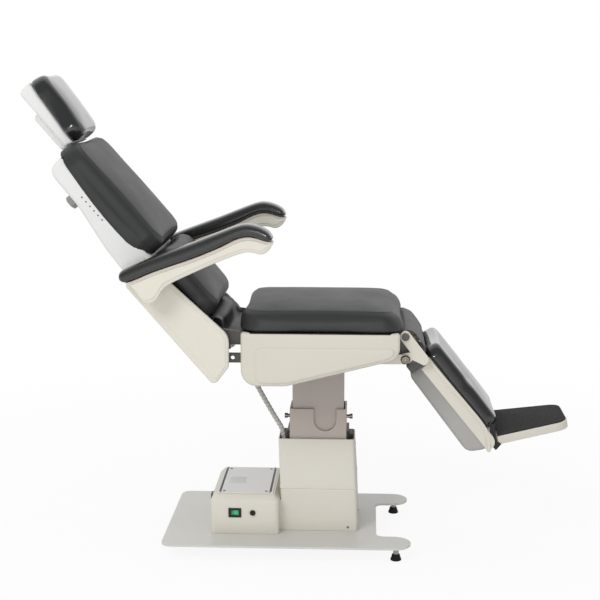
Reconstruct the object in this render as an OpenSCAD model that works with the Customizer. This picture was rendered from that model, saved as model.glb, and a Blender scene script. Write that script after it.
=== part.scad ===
// Reclining eye examination chair on a lifting column.
// +X points to the foot plate, +Y to the sitter's left, +Z up, with the floor at Z = 0.
// Lengths are in millimetres. Back and leg coordinates: Z up along it, X out of its cushion.

/* [Whole chair] */
// Column ahead of the middle of the chair's length
column_x = 60; // [52:1:68]
// Height of hinge lines of the back and the leg rest
hinge_z = 661; // [655:1:690]
// Back hinge behind column
back_hinge_x = 272; // [268:1:290]
// Leg rest hinge ahead of column
leg_hinge_x = 254; // [250:1:275]
// Slope of back above level
back_angle = 49; // [45:1:55]
// Slope of leg rest below level
leg_angle = 51; // [47:1:56]
// Slope of foot plate above level
foot_angle = 10; // [6:1:16]

/* [Base] */
// Thickness of base plate
plate_t = 6; // [5:0.5:10]
// Height of underside of the base plate
plate_low = 43; // [40:1:60]
// Half width of base plate
plate_half_w = 252; // [240:1:280]
// Plate reach behind column
plate_rear = 452; // [430:1:480]
// Prongs' reach ahead of column
plate_front = 277; // [265:1:300]
// Notch between the prongs ahead of column
notch_x = 177; // [150:1:190]
// Radius of rear corners of the plate
plate_corner_r = 30; // [15:1:50]
// Radius of prong tips, half a prong's width
prong_r = 50; // [42:1:60]
// Fillet in corners of the notch
notch_r = 22; // [8:1:30]
// Front feet ahead of column
foot_front_x = 234; // [220:1:245]
// Half distance between front feet
foot_front_y = 212; // [205:1:220]
// Rear feet behind column
foot_rear_x = 400; // [380:1:420]
// Half distance between rear feet
foot_rear_y = 112; // [80:1:140]
// Radius of rubber foot on the floor
pad_r = 16; // [14:0.5:20]
// Radius of rubber foot at its top
pad_top_r = 11; // [10.5:0.5:13]
// Height of rubber foot
pad_h = 19; // [17:1:24]
// Radius of foot's threaded stud
stud_r = 5; // [4:0.5:6]
// Radius of chrome neck above the rubber
neck_r = 8; // [7:0.5:10]
// Height of lock nut under the plate
nut_h = 7; // [5:0.5:9]
// Radius of lock nut over its corners
nut_r = 10; // [9:0.5:12]

/* [Column] */
// Half length of outer column
outer_hx = 85; // [82:0.5:88]
// Half width of outer column
outer_hy = 52; // [50:0.5:54]
// Wall of outer column
outer_wall = 5; // [4:0.5:6]
// Height of top of the outer column
outer_top = 409; // [395:1:415]
// Thickness of guide pads inside the outer column
guide_t = 3; // [2:0.5:4]
// Wall of inner column
inner_wall = 4; // [3:0.5:6]
// Height of inner column's lower end
inner_low = 186; // [180:1:200]
// Half width of notch in the outer column
collar_notch_r = 34; // [25:1:36]
// Notch ahead of column's middle
collar_notch_x = 21; // [10:1:25]
// Height of lowest point of the notch
collar_notch_low = 341; // [335:1:350]
// Thickness of the outer column's flange
flange_t = 8; // [6:0.5:12]
// Flange's reach out of the outer column
flange_out = 16; // [14:0.5:18]
// Height of guide bolts
guide_bolt_z = 375; // [370:1:380]
// Radius of heads of the guide bolts
guide_bolt_r = 7.5; // [6:0.5:9]
// Heads out
guide_bolt_out = 18; // [12:1:20]

/* [Column cover] */
// Height of cover's top rim
cover_top = 319; // [310:1:325]
// Height of crease round the cover
cover_crease = 180; // [170:1:200]
// Reach behind column at the floor plate
cover_rear_low = 107; // [106:0.5:112]
// Reach behind column at the crease
cover_rear_mid = 111; // [108:0.5:114]
// Reach behind column at the rim
cover_rear_top = 119; // [117:0.5:121]
// Reach ahead of column at the floor plate
cover_front_low = 122; // [118:1:126]
// Reach ahead of column at the crease
cover_front_mid = 117; // [115:1:121]
// Reach ahead of column at the rim
cover_front_top = 110; // [108:1:114]
// Half the width up to the crease
cover_half_low = 110; // [100:1:114]
// Half the width at the rim
cover_half_top = 62; // [60:0.5:66]
// Corner radius of the cover
cover_corner_r = 15; // [8:1:18]
// Wall of cover
cover_wall = 3; // [2:0.5:4]

/* [Power box] */
// Box reach behind column
box_rear = 316; // [300:1:330]
// Half width of box
box_half_w = 150; // [140:1:156]
// Height of top of the box
box_top = 168; // [160:1:174]
// Bevel round the top of the box
box_bevel = 17; // [12:1:20]
// Wall of box
box_wall = 2.5; // [2:0.5:4]
// Lid distance from the column side of the box
lid_gap = 20; // [18:1:26]
// Thickness of lid plate
lid_t = 2; // [1.5:0.5:3]
// Width of switch bezel
bezel_w = 38; // [34:1:42]
// Height of switch bezel
bezel_h = 28; // [24:1:32]
// Middle of the switch behind column
switch_x = 243; // [235:1:250]
// Height of middle of the switch and the fuse
switch_z = 115; // [110:1:120]
// Fuse holder behind column
fuse_x = 190; // [185:1:200]
// Radius of fuse cap
fuse_r = 7.5; // [6:0.5:9]

/* [Lift] */
// Thickness of plate on the inner column
saddle_t = 10; // [8:1:12]
// Height of top of the inner column
inner_top = 556; // [552:1:560]
// Half length of saddle plate
saddle_hx = 115; // [100:1:125]
// Half width of saddle plate
saddle_hy = 85; // [84:0.5:92]
// Half distance between saddle's webs
web_half = 75; // [74:0.5:79]
// Thickness of webs
web_t = 6; // [4:0.5:8]
// Radius of lift actuator's tube
lift_tube_r = 20; // [18:0.5:24]
// Radius of lift actuator's rod
lift_rod_r = 14; // [11:0.5:15]

/* [Seat] */
// Rails reach below hinge line
rail_down = 29; // [27:1:31]
// Height of rails
rail_h = 32; // [30:1:34]
// Width of rail
rail_w = 25; // [20:1:30]
// Thickness of seat board
board_t = 12; // [9:1:14]
// Reach of seat cushion behind column
seat_rear = 215; // [205:1:220]
// Reach of seat cushion ahead of column
seat_front = 250; // [240:1:255]
// Half width of seat cushion
seat_half_w = 230; // [220:1:231]
// Height of seat cushion's side wall
seat_wall = 60; // [50:1:70]
// Rise of seat cushion's crown
seat_crown = 20; // [12:1:24]
// Cushion crease inset
seat_edge = 54; // [40:1:60]
// Corner radius of the seat cushion
seat_corner_r = 62; // [56:1:80]
// Half width over seat covers
seat_cover_half = 236; // [235:0.5:237]
// Wall of moulded side covers
skin_t = 3; // [2:0.5:4]
// Depth of seat covers from side to rim
seat_cover_deep = 22; // [12:1:22]
// Reach of seat covers behind column
seat_cover_rear = 215; // [210:1:216]
// Reach of seat covers ahead of column
seat_cover_front = 238; // [234:1:242]
// Seat covers reach below hinge line
seat_cover_down = 141; // [131:1:146]
// Seat covers' front lower corner below hinge line
seat_nose_down = 68; // [61:1:73]
// Seat covers' rear lower corner radius
seat_cover_rear_r = 46; // [35:1:55]
// Seat covers' front lower corner radius
seat_cover_nose_r = 41; // [30:1:48]
// Radius of belly of the seat covers
seat_belly_r = 102; // [80:1:110]
// Middle of the belly behind column
seat_belly_x = 100; // [90:1:110]

/* [Linkage] */
// Thickness of hinge plates and link bars
link_t = 8; // [6:0.5:8]
// Gap between neighbouring hinge plates and bars
link_gap = 2; // [1.5:0.5:3]
// Inner face of seat's hinge plates
hinge_in = 176; // [172:0.5:177]
// Hinges down to the link pins
link_arm = 64; // [58:1:68]
// Height of link bar
bar_h = 28; // [24:1:30]
// Radius of back's hinge pins
hinge_pin_r = 10; // [8:0.5:11]
// Radius of link pins and the leg rest's hinge bolts
link_pin_r = 8; // [6:0.5:9]
// Length of recline drive lever
drive_arm = 64; // [60:1:66]
// Lean of drive lever from upright at rest
drive_lean = 9; // [8:1:10]
// Radius of drive pin
drive_pin_r = 7; // [6:0.5:8]
// Radius of recline actuator's rod
recline_rod_r = 11; // [9:0.5:12]
// Radius of recline actuator's tube
recline_tube_r = 20; // [18:0.5:22]

/* [Back] */
// Half width of back cushions
back_half_w = 208; // [200:1:212]
// Lower end of lumbar cushion up the back
lumbar_low = 63; // [60:1:70]
// Upper end of lumbar cushion up the back
lumbar_top = 299; // [290:1:300]
// Lower end of upper cushion up the back
cushion_low = 304; // [303:1:310]
// Upper end of upper cushion up the back
cushion_top = 693; // [680:1:694]
// Height of back cushions' side walls
back_wall = 50; // [40:1:58]
// Rise of back cushions' crowns
back_crown = 22; // [12:1:26]
// Back cushions crease inset
back_edge = 47; // [36:1:54]
// Corner radius of the back cushions
back_corner_r = 56; // [50:1:70]
// Half width over upper shell
shell_half = 206; // [203:0.5:208]
// Depth of upper shell at its lower end
shell_deep = 94; // [85:1:97]
// Lower end of upper shell up the back
shell_low = 290; // [288:1:296]
// Upper end of upper shell up the back
shell_top = 680; // [670:1:682]
// Half width over lower side covers
side_cover_half = 252; // [251:0.5:255]
// Depth of lower side covers
side_cover_deep = 12; // [8:0.5:12]
// Lower side covers reach behind hinge
side_cover_rear = 104; // [100:1:106]
// Upper end of lower side covers up the back
side_cover_top = 290; // [280:1:292]
// Lower end of lower side covers below hinge
side_cover_low = 89; // [84:1:92]
// Thickness of back's steel sheet
pan_t = 3; // [2:0.5:4]

/* [Arms] */
// Place of arm pivot up the back
arm_pivot_z = 241; // [235:1:246]
// Arm pivot behind the cushion plane
arm_pivot_x = 53; // [48:1:58]
// Slope of arms above level
arm_angle = 20.5; // [15:0.5:26]
// Length of arm ahead of its pivot
arm_l = 386; // [370:1:400]
// Height of top of an arm pad above its pivot
arm_h = 80; // [72:1:88]
// Inner face of arm pads
arm_in = 265; // [262:1:268]
// Width of arm pad
arm_pad_w = 70; // [60:1:76]
// Width of arm's moulded body
arm_body_w = 52; // [44:1:58]
// Radius of spigot that an arm turns on
spigot_r = 18; // [14:0.5:20]

/* [Headrest] */
// Lean of headrest ahead of the back
head_lean = 6; // [2:0.5:8]
// Lower end of headrest up the back
head_low = 694; // [693:1:700]
// Headrest cushion's lower end ahead of the back
head_x = 27; // [24:1:32]
// Length of headrest cushion
head_l = 214; // [200:1:225]
// Half width of headrest cushion
head_half_w = 118; // [105:1:128]
// Height of headrest cushion's side wall
head_wall = 50; // [42:1:56]
// Rise of headrest cushion's crown
head_crown = 17; // [10:1:20]
// Headrest cushion crease inset
head_edge = 34; // [28:1:40]
// Corner radius of the headrest cushion
head_corner_r = 46; // [42:1:56]
// Width of slide bar
slide_w = 60; // [50:1:66]
// Thickness of slide bar
slide_t = 6; // [5:0.5:6]
// Slide bar behind the cushion plane
slide_x = 22; // [22:0.5:25]
// Lower end of slide bar up the back
slide_low = 470; // [450:5:480]
// Half width of cover round the headrest's bracket
head_cover_half = 45; // [42:1:52]
// Place of lock knob up the back
knob_z = 577; // [570:1:585]
// Radius of lock knob
knob_r = 20; // [16:1:24]
// Thickness of lock knob's head
knob_h = 18; // [14:1:22]

/* [Leg rest] */
// Half width of leg cushion
leg_half_w = 150; // [140:1:158]
// Upper end of leg cushion below hinge
leg_top = 80; // [78:1:90]
// Lower end of leg cushion below hinge
leg_low = 380; // [370:1:384]
// Height of leg cushion's side wall
leg_wall = 44; // [36:1:50]
// Rise of leg cushion's crown
leg_crown = 8; // [5:1:12]
// Leg cushion crease inset
leg_edge = 30; // [24:1:36]
// Corner radius of the leg cushion
leg_corner_r = 34; // [30:1:44]
// Cushion pan's face ahead of the hinge line
leg_pan_x = 12; // [9:1:15]
// Depth of cushion pan
leg_pan_deep = 20; // [16:1:22]
// Half width of cushion pan
leg_pan_half = 168; // [162:1:172]
// Depth of rear casing behind the pan
casing_deep = 68; // [60:1:74]
// Half width of rear casing
casing_half = 164; // [158:1:166]
// Upper end of casing below hinge
casing_top = 96; // [95:1:100]
// Lower end of casing below hinge
casing_low = 412; // [405:1:416]
// Size of leg rest bar, square
leg_bar = 26; // [22:1:28]

/* [Foot plate] */
// Place of foot plate hinge below the leg rest's hinge
foot_hinge_low = 416; // [412:1:420]
// Foot plate hinge ahead of leg rest's hinge line
foot_hinge_x = 4; // [0:1:8]
// Length of foot plate
foot_l = 224; // [205:1:235]
// Half width of foot plate at the leg rest
foot_half_rear = 146; // [138:1:150]
// Half width of foot plate at its tip
foot_half_front = 108; // [95:1:120]
// Radius of front corners of the foot plate
foot_corner_r = 30; // [20:1:40]
// Depth of foot plate's skirt
foot_deep = 24; // [20:1:28]
// Thickness of rubber mat
mat_t = 3; // [2:0.5:4]
// Radius of foot plate's hinge pins
foot_pin_r = 5; // [4:0.5:6]

/* [Cable hose] */
// Radius of hose over its ribs
hose_r = 7.5; // [6:0.5:8]
// Depth of grooves between ribs
rib_deep = 1.2; // [0.8:0.1:1.6]
// Number of ribs
rib_count = 44; // [30:1:60]
// Radius of bore
hose_bore_r = 4.5; // [3.5:0.5:5]

/* [Hidden] */
$fn = 40;

// Clearances: running fits, seams, and a cut's overrun
run_gap = 0.05;
seam_gap = 0.3;
over = 1;

// Colours of the finishes
cream = [0.86, 0.84, 0.79];
white_shell = [0.92, 0.92, 0.90];
plate_grey = [0.78, 0.78, 0.77];
casing_grey = [0.65, 0.65, 0.64];
column_grey = [0.62, 0.58, 0.56];
dark_steel = [0.34, 0.33, 0.31];
vinyl = [0.27, 0.28, 0.28];
vinyl_pale = [0.70, 0.69, 0.72];
black = [0.08, 0.08, 0.08];
chrome = [0.80, 0.80, 0.82];
wood = [0.72, 0.58, 0.40];
green = [0.16, 0.66, 0.40];

// Heights and faces that several pieces share
plate_top = plate_low + plate_t;
rail_low = hinge_z - rail_down;
rail_top = rail_low + rail_h;
seat_cover_low = hinge_z - seat_cover_down;
seat_cover_nose = hinge_z - seat_nose_down;
board_low = rail_top;
board_top = rail_top + board_t;
inner_hx = outer_hx - outer_wall - guide_t;
inner_hy = outer_hy - outer_wall - guide_t;
plate_in = hinge_in + link_t + link_gap;
bar_in = plate_in + link_t + link_gap;
bar_out = bar_in + link_t;
side_cover_in = side_cover_half - side_cover_deep;
cross_w = rail_w;
rear_cross_x = seat_cover_rear - 2 * rail_w + cross_w / 5;

// Places a child at the column's axis on the floor
module in_chair() {
  translate([column_x, 0, 0]) children();
}

// In the back's own coordinates
module in_back() {
  in_chair() translate([-back_hinge_x, 0, hinge_z]) rotate([0, back_angle - 90, 0]) children();
}

// In the leg rest's own coordinates
module in_leg() {
  in_chair() translate([leg_hinge_x, 0, hinge_z]) rotate([0, leg_angle - 90, 0]) children();
}

// Foot plate coordinates: X along the plate, Z out of its mat
module in_foot() {
  in_leg() translate([foot_hinge_x, 0, -foot_hinge_low])
    rotate([0, 90 - leg_angle - foot_angle, 0]) children();
}

// Arm coordinates: X along the arm, Z up
module in_arm() {
  in_back() translate([-arm_pivot_x, 0, arm_pivot_z])
    rotate([0, 90 - back_angle - arm_angle, 0]) children();
}

// In the headrest's coordinates
module in_head() {
  in_back() translate([head_x, 0, head_low]) rotate([0, head_lean, 0]) children();
}

// A side view outline given thickness from y0 to y1
module slab(y0, y1) {
  translate([0, y1, 0]) rotate([90, 0, 0]) linear_extrude(y1 - y0) children();
}

// The same on both sides of the chair
module slabs(y0, y1) {
  slab(y0, y1) children();
  slab(-y1, -y0) children();
}

// A block between limits
module block(x0, x1, y0, y1, z0, z1) {
  translate([x0, y0, z0]) cube([x1 - x0, y1 - y0, z1 - z0]);
}

module blocks(x0, x1, y0, y1, z0, z1) {
  block(x0, x1, y0, y1, z0, z1);
  block(x0, x1, -y1, -y0, z0, z1);
}

// Round bars along Y and X
module bar_y(r, y0, y1) {
  translate([0, y1, 0]) rotate([90, 0, 0]) cylinder(r = r, h = y1 - y0);
}

module bars_y(r, y0, y1) {
  bar_y(r, y0, y1);
  bar_y(r, -y1, -y0);
}

module bar_x(r, x0, x1) {
  translate([x0, 0, 0]) rotate([0, 90, 0]) cylinder(r = r, h = x1 - x0);
}

// Points of an arc
function arc(cx, cy, r, a0, a1, steps = 8) =
  [for (i = [0:steps]) let (a = a0 + (a1 - a0) * i / steps) [cx + r * cos(a), cy + r * sin(a)]];

function both_sides(half) =
  concat(half, [for (i = [len(half) - 1:-1:0]) [half[i][0], -half[i][1]]]);

// Convex outline with round corners: [x, z, radius] each
module rounded(corners, inset = 0) {
  hull() for (c = corners) translate([c[0], c[1]]) circle(r = max(c[2] - inset, over), $fn = 32);
}

// A rounded rectangle about the origin
module soft_rect(hx, hy, r) {
  polygon(concat(arc(hx - r, hy - r, r, 0, 90), arc(r - hx, hy - r, r, 90, 180),
    arc(r - hx, r - hy, r, 180, 270), arc(hx - r, r - hy, r, 270, 360)));
}

// Triangles between rings of n points, with a fan at both ends
function skin_faces(rings, n) = concat(
  [for (k = [0:rings - 2], i = [0:n - 1]) let (j = (i + 1) % n)
    each [[k * n + i, (k + 1) * n + i, (k + 1) * n + j], [k * n + i, (k + 1) * n + j, k * n + j]]],
  [for (i = [0:n - 1]) [rings * n, i, (i + 1) % n]],
  [for (i = [0:n - 1]) [rings * n + 1, (rings - 1) * n + (i + 1) % n, (rings - 1) * n + i]]);

// The middle of a ring
function middle(ring) = [for (a = [0:2]) let (s = [for (p = ring) p[a]]) (min(s) + max(s)) / 2];

// A closed solid through a stack of rings
module skin(rings) {
  n = len(rings[0]);
  polyhedron(points = concat([for (r = rings) each r], [middle(rings[0]), middle(rings[len(rings) - 1])]),
    faces = skin_faces(len(rings), n));
}

// Ring of a cushion: its sides pull in by bow between the corners
corner_steps = 5;
side_steps = 5;
function pad_ring(hx, hy, r, bow, z) = [for (q = [0:3]) let (
    sx = (q == 0 || q == 3) ? 1 : -1, sy = q < 2 ? 1 : -1,
    nx = (q == 0 || q == 1) ? -1 : 1, ny = (q == 1 || q == 2) ? -1 : 1,
    a1 = 90 * (q + 1),
    p = [sx * (hx - r) + r * cos(a1), sy * (hy - r) + r * sin(a1)],
    qx = (q == 0 || q == 2) ? -sx : sx, qy = (q == 0 || q == 2) ? sy : -sy,
    p2 = [qx * (hx - r) + r * cos(a1), qy * (hy - r) + r * sin(a1)])
  each concat(
    [for (i = [0:corner_steps]) let (a = 90 * q + 90 * i / corner_steps)
      [sx * (hx - r) + r * cos(a), sy * (hy - r) + r * sin(a), z]],
    [for (j = [1:side_steps - 1]) let (t = j / side_steps, b = bow * sin(180 * t))
      [p[0] + (p2[0] - p[0]) * t - b * cos(a1), p[1] + (p2[1] - p[1]) * t - b * sin(a1), z]])];

// Cushion wall: share of the way in to the crease, share of the height
wall_shares = [[0.06, 0], [0, 0.14], [0, 0.34], [0.05, 0.56], [0.20, 0.78], [0.50, 0.93], [1, 1]];
// Rings of the crown: share of the half size left
crown_shares = [0.80, 0.52, 0.24];
// How far cushion sides pull in, share of edge
bow_share = 0.10;

// A cushion on the XY plane, crowned, with drawn in sides
module cushion(hx, hy, wall, crown, edge, r) {
  bow = edge * bow_share;
  walls = [for (s = wall_shares)
    pad_ring(hx - edge * s[0], hy - edge * s[0], r - edge * s[0] * 0.8, bow * (1 - s[0]), wall * s[1])];
  tops = [for (s = crown_shares)
    pad_ring((hx - edge) * s, (hy - edge) * s, (r - edge * 0.8) + (min(hx,
      hy) * s - edge * s - r + edge * 0.8) * (1 - s),
      0, wall + crown * (1 - s * s))];
  skin(concat(walls, tops));
}

// Base plate with a notch between two prongs
module plate_outline() {
  inner = plate_half_w - 2 * prong_r;
  polygon(both_sides(concat(
    arc(notch_x + notch_r, inner - notch_r, notch_r, 180, 90),
    arc(plate_front - prong_r, plate_half_w - prong_r, prong_r, -90, 90, 16),
    arc(plate_corner_r - plate_rear, plate_half_w - plate_corner_r, plate_corner_r, 90, 180))));
}

// The four places where feet stand
foot_places = [[foot_front_x, foot_front_y], [foot_front_x, -foot_front_y],
  [-foot_rear_x, foot_rear_y], [-foot_rear_x, -foot_rear_y]];
// The four bolts of the column's flange
flange_places = [for (sx = [-1, 1], sy = [-1, 1]) [sx * (outer_hx - flange_out),
  sy * (outer_hy + flange_out / 2)]];
flange_bolt_r = 4;

module base_plate() {
  color(plate_grey) in_chair() difference() {
    translate([0, 0, plate_low]) linear_extrude(plate_t) plate_outline();
    for (p = foot_places)
      translate([p[0], p[1], plate_low - over]) cylinder(r = stud_r + run_gap, h = plate_t + 2 * over);
    for (p = flange_places)
      translate([p[0], p[1], plate_low - over])
        cylinder(r = flange_bolt_r + run_gap, h = plate_t + 2 * over);
  }
}

module foot_pads() {
  color(black) in_chair() for (p = foot_places) translate([p[0], p[1], 0]) difference() {
    rotate_extrude() polygon([[0, 0], [pad_r - over, 0], [pad_r, over], [pad_top_r, pad_h], [0, pad_h]]);
    translate([0, 0, pad_h / 2]) cylinder(r = stud_r + run_gap, h = pad_h);
  }
}

module foot_studs() {
  color(chrome) in_chair() for (p = foot_places) translate([p[0], p[1], 0]) {
    translate([0, 0, pad_h / 2]) cylinder(r = stud_r, h = plate_top - pad_h / 2);
    translate([0, 0, pad_h]) cylinder(r = neck_r, h = plate_low - nut_h - pad_h);
    translate([0, 0, plate_low - nut_h]) cylinder(r = nut_r, h = nut_h, $fn = 6);
  }
}

// Notch in the near and far faces of the outer column
module collar_notch() {
  translate([collar_notch_x, collar_notch_low + collar_notch_r]) circle(r = collar_notch_r);
  translate([collar_notch_x - collar_notch_r, collar_notch_low + collar_notch_r])
    square([2 * collar_notch_r, outer_top - collar_notch_low]);
}

module outer_column() {
  ix = outer_hx - outer_wall;
  iy = outer_hy - outer_wall;
  color(column_grey) in_chair() difference() {
    union() {
      block(-outer_hx, outer_hx, -outer_hy, outer_hy, plate_top, outer_top);
      block(-outer_hx - flange_out, outer_hx + flange_out, -outer_hy - flange_out,
        outer_hy + flange_out, plate_top, plate_top + flange_t);
    }
    block(-ix, ix, -iy, iy, plate_top - over, outer_top + over);
    slab(-outer_hy - over, outer_hy + over) collar_notch();
    for (p = flange_places) translate([p[0], p[1], plate_top - over])
      cylinder(r = flange_bolt_r + run_gap, h = flange_t + 2 * over);
    for (s = [-1, 1]) translate([0, 0, guide_bolt_z]) scale([s, 1, 1])
      bar_x(guide_bolt_r / 2 + run_gap, ix - over, outer_hx + over);
  }
}

// Plastic guides with lugs
guide_lug_h = 10;
guide_lug_half = 14;
guide_low = collar_notch_low - 4 * nut_r;
module guide_pads() {
  ix = outer_hx - outer_wall;
  iy = outer_hy - outer_wall;
  color(black) in_chair() {
    for (s = [-1, 1]) scale([s, 1, 1]) {
      block(inner_hx + seam_gap, ix, -iy + guide_t, iy - guide_t, guide_low, outer_top - over);
      block(inner_hx + seam_gap, ix, -guide_lug_half, guide_lug_half, outer_top - 2 * over,
        outer_top + guide_lug_h);
    }
    for (s = [-1, 1]) scale([1, s, 1])
      block(-inner_hx, inner_hx, inner_hy + seam_gap, iy, guide_low, collar_notch_low - over);
    for (s = [-1, 1]) scale([s, 1, 1])
      block(outer_hx, outer_hx + guide_bolt_r, -outer_hy + guide_t, outer_hy - guide_t,
        cover_top - flange_out, cover_top + 3 * guide_bolt_r);
  }
}

// Bolts of the guides and of the column's flange
module guide_bolts() {
  shank = guide_bolt_r / 2;
  color(dark_steel) in_chair() {
    for (s = [-1, 1]) scale([s, 1, 1]) translate([0, 0, guide_bolt_z]) {
      bar_x(shank, outer_hx - outer_wall, outer_hx + guide_bolt_r);
      bar_x(shank + over, outer_hx, outer_hx + over);
      bar_x(guide_bolt_r, outer_hx + guide_bolt_out / 2, outer_hx + guide_bolt_out);
      bar_x(guide_bolt_r * 0.7, outer_hx + over, outer_hx + guide_bolt_out / 2);
    }
    for (p = flange_places) translate([p[0], p[1], plate_low]) {
      cylinder(r = flange_bolt_r, h = plate_t + flange_t);
      translate([0, 0, plate_t + flange_t]) cylinder(r = 2 * flange_bolt_r, h = flange_bolt_r, $fn = 6);
    }
  }
}

// Solid form of the column cover, inset on every side
module cover_form(inset, low, top) {
  r = cover_corner_r - inset;
  crease = cover_crease;
  module ring_at(z, rear, front, half) {
    translate([(front - rear) / 2, 0, z]) linear_extrude(over / 100)
      soft_rect((front + rear) / 2 - inset, half - inset, r);
  }
  hull() {
    ring_at(low, cover_rear_low, cover_front_low, cover_half_low);
    ring_at(crease, cover_rear_mid, cover_front_mid, cover_half_low);
  }
  hull() {
    ring_at(crease, cover_rear_mid, cover_front_mid, cover_half_low);
    ring_at(top, cover_rear_top, cover_front_top, cover_half_top);
  }
}

module column_cover() {
  color(cream) in_chair() difference() {
    cover_form(0, plate_top, cover_top);
    cover_form(cover_wall, plate_top - over, cover_top + over);
    for (z = screw_heights) translate([0, 0, z])
      bar_x(small_screw_r + run_gap, cover_half_low - cover_corner_r, cover_front_low + over);
  }
}

// Small screws of the cover and of the power box lid
small_screw_r = 2.5;
screw_head_t = 1.5;
lid_x0 = -box_rear + box_bevel + over;
lid_x1 = -cover_rear_mid - lid_gap;
lid_hy = box_half_w - box_bevel - 5 * over;
screw_heights = [plate_top + 2 * cover_corner_r, cover_crease + cover_half_low];
lid_screws = [for (x = [lid_x0 + nut_r, lid_x1 - nut_r], s = [-1, 1]) [x,
  s * (lid_hy - 2 * small_screw_r)]];
module cover_screws() {
  color(dark_steel) in_chair() {
    for (z = screw_heights)
      translate([0, 0, z]) bar_x(small_screw_r, front_at(z) - cover_wall - over,
        front_at(z) + screw_head_t);
    for (p = lid_screws) translate([p[0], p[1], box_top]) {
      translate([0, 0, lid_t]) cylinder(r = small_screw_r, h = screw_head_t);
      translate([0, 0, -2 * box_wall]) cylinder(r = small_screw_r / 2, h = lid_t + 2 * box_wall);
    }
  }
}

// Bores of the lid's screws
module lid_screw_bores() {
  for (p = lid_screws) translate([p[0], p[1], box_top - 3 * box_wall])
    cylinder(r = small_screw_r / 2 + run_gap, h = lid_t + 4 * box_wall);
}

// Reach of cover's front face at a height
function front_at(z) = z < cover_crease
  ? cover_front_low + (cover_front_mid - cover_front_low) * (z - plate_top) / (cover_crease - plate_top)
  : cover_front_mid + (cover_front_top - cover_front_mid) * (z - cover_crease) / (cover_top - cover_crease);

// Box for the mains parts behind column
box_front = -cover_rear_mid - seam_gap;
module box_form(inset) {
  hx = (box_front + box_rear) / 2;
  r = cover_corner_r - inset;
  translate([(box_front - box_rear) / 2, 0, 0]) hull() {
    translate([0, 0, plate_top]) linear_extrude(box_top - box_bevel - plate_top)
      soft_rect(hx - inset, box_half_w - inset, r);
    translate([0, 0, box_top - inset - over]) linear_extrude(over)
      soft_rect(hx - box_bevel, box_half_w - box_bevel, r);
  }
}

module power_box() {
  color(cream) in_chair() difference() {
    box_form(0);
    translate([0, 0, -over]) box_form(box_wall);
    lid_screw_bores();
    block(lid_x0 + lid_gap, lid_x1 - lid_gap, lid_gap - lid_hy, lid_hy - lid_gap, box_top - 3 * box_wall,
      box_top + over);
    translate([-switch_x, 0, switch_z]) block(-bezel_w / 2 + bezel_lip, bezel_w / 2 - bezel_lip,
      -box_half_w - over, -box_half_w + 2 * box_wall, -bezel_h / 2 + bezel_lip, bezel_h / 2 - bezel_lip);
    translate([-fuse_x, 0, switch_z]) bar_y(fuse_r - over + run_gap, -box_half_w - over,
      -box_half_w + 2 * box_wall);
    block(-box_rear - over, -box_rear + 2 * box_wall, inlet_y - inlet_w / 2 + bezel_lip,
      inlet_y + inlet_w / 2 - bezel_lip, inlet_z - inlet_h / 2 + bezel_lip,
        inlet_z + inlet_h / 2 - bezel_lip);
  }
}

// Lid plate with a vent slot along each end
module box_lid() {
  slot_w = 2 * small_screw_r;
  color(plate_grey) in_chair() difference() {
    block(lid_x0, lid_x1, -lid_hy, lid_hy, box_top, box_top + lid_t);
    lid_screw_bores();
    for (x = [lid_x0 + slot_w, lid_x1 - 2 * slot_w])
      block(x, x + slot_w, -lid_hy + lid_gap, lid_hy - lid_gap, box_top - over, box_top + lid_t + over);
  }
}

// Bezel of the mains switch and its rocker
bezel_lip = 3;
bezel_out = 2.5;
rocker_gap = 0.5;
rocker_r = bezel_w / 2;
switch_deep = 22;
module switch_bezel() {
  w = bezel_w / 2;
  h = bezel_h / 2;
  color(black) in_chair() translate([-switch_x, -box_half_w, switch_z]) difference() {
    union() {
      block(-w, w, -bezel_out, 0, -h, h);
      block(-w + bezel_lip + seam_gap, w - bezel_lip - seam_gap, -over, switch_deep,
        -h + bezel_lip + seam_gap, h - bezel_lip - seam_gap);
    }
    block(-w + 2 * bezel_lip, w - 2 * bezel_lip, -bezel_out - over, switch_deep - bezel_lip,
      -h + 2 * bezel_lip, h - 2 * bezel_lip);
  }
}

// Rocker: a shallow V that turns about an upright axis
rocker_tilt = 8;
module switch_rocker() {
  w = bezel_w / 2 - 2 * bezel_lip - 2 * rocker_gap;
  h = bezel_h / 2 - 2 * bezel_lip - rocker_gap;
  rise = w * tan(rocker_tilt);
  color(green) in_chair() translate([-switch_x, -box_half_w, switch_z]) {
    translate([0, 0, -h]) linear_extrude(2 * h)
      polygon([[-w, -rise], [0, 0], [w, -rise], [w * 0.7, bezel_lip], [-w * 0.7, bezel_lip]]);
    translate([0, bezel_lip, -h]) cylinder(r = bezel_lip, h = 2 * h);
  }
}

// Fuse holder in the box wall and its bayonet cap
fuse_deep = 30;
fuse_ring_t = 2;
module fuse_holder() {
  color(black) in_chair() translate([-fuse_x, -box_half_w, switch_z]) difference() {
    union() {
      bar_y(fuse_r + over, -fuse_ring_t, 0);
      bar_y(fuse_r - over, -over, fuse_deep);
    }
    bar_y(fuse_r - 2 * over + run_gap, -fuse_ring_t - over, fuse_deep - fuse_ring_t);
  }
}

module fuse_cap() {
  color(black) in_chair() translate([-fuse_x, -box_half_w, switch_z]) difference() {
    union() {
      bar_y(fuse_r, -fuse_ring_t - bezel_lip, -fuse_ring_t - seam_gap);
      bar_y(fuse_r - 2 * over, -fuse_ring_t - over, fuse_deep - 2 * fuse_ring_t);
    }
    block(-fuse_r * 0.6, fuse_r * 0.6, -fuse_ring_t - bezel_lip - over, -fuse_ring_t - bezel_lip + over,
      -over / 2, over / 2);
  }
}

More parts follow.
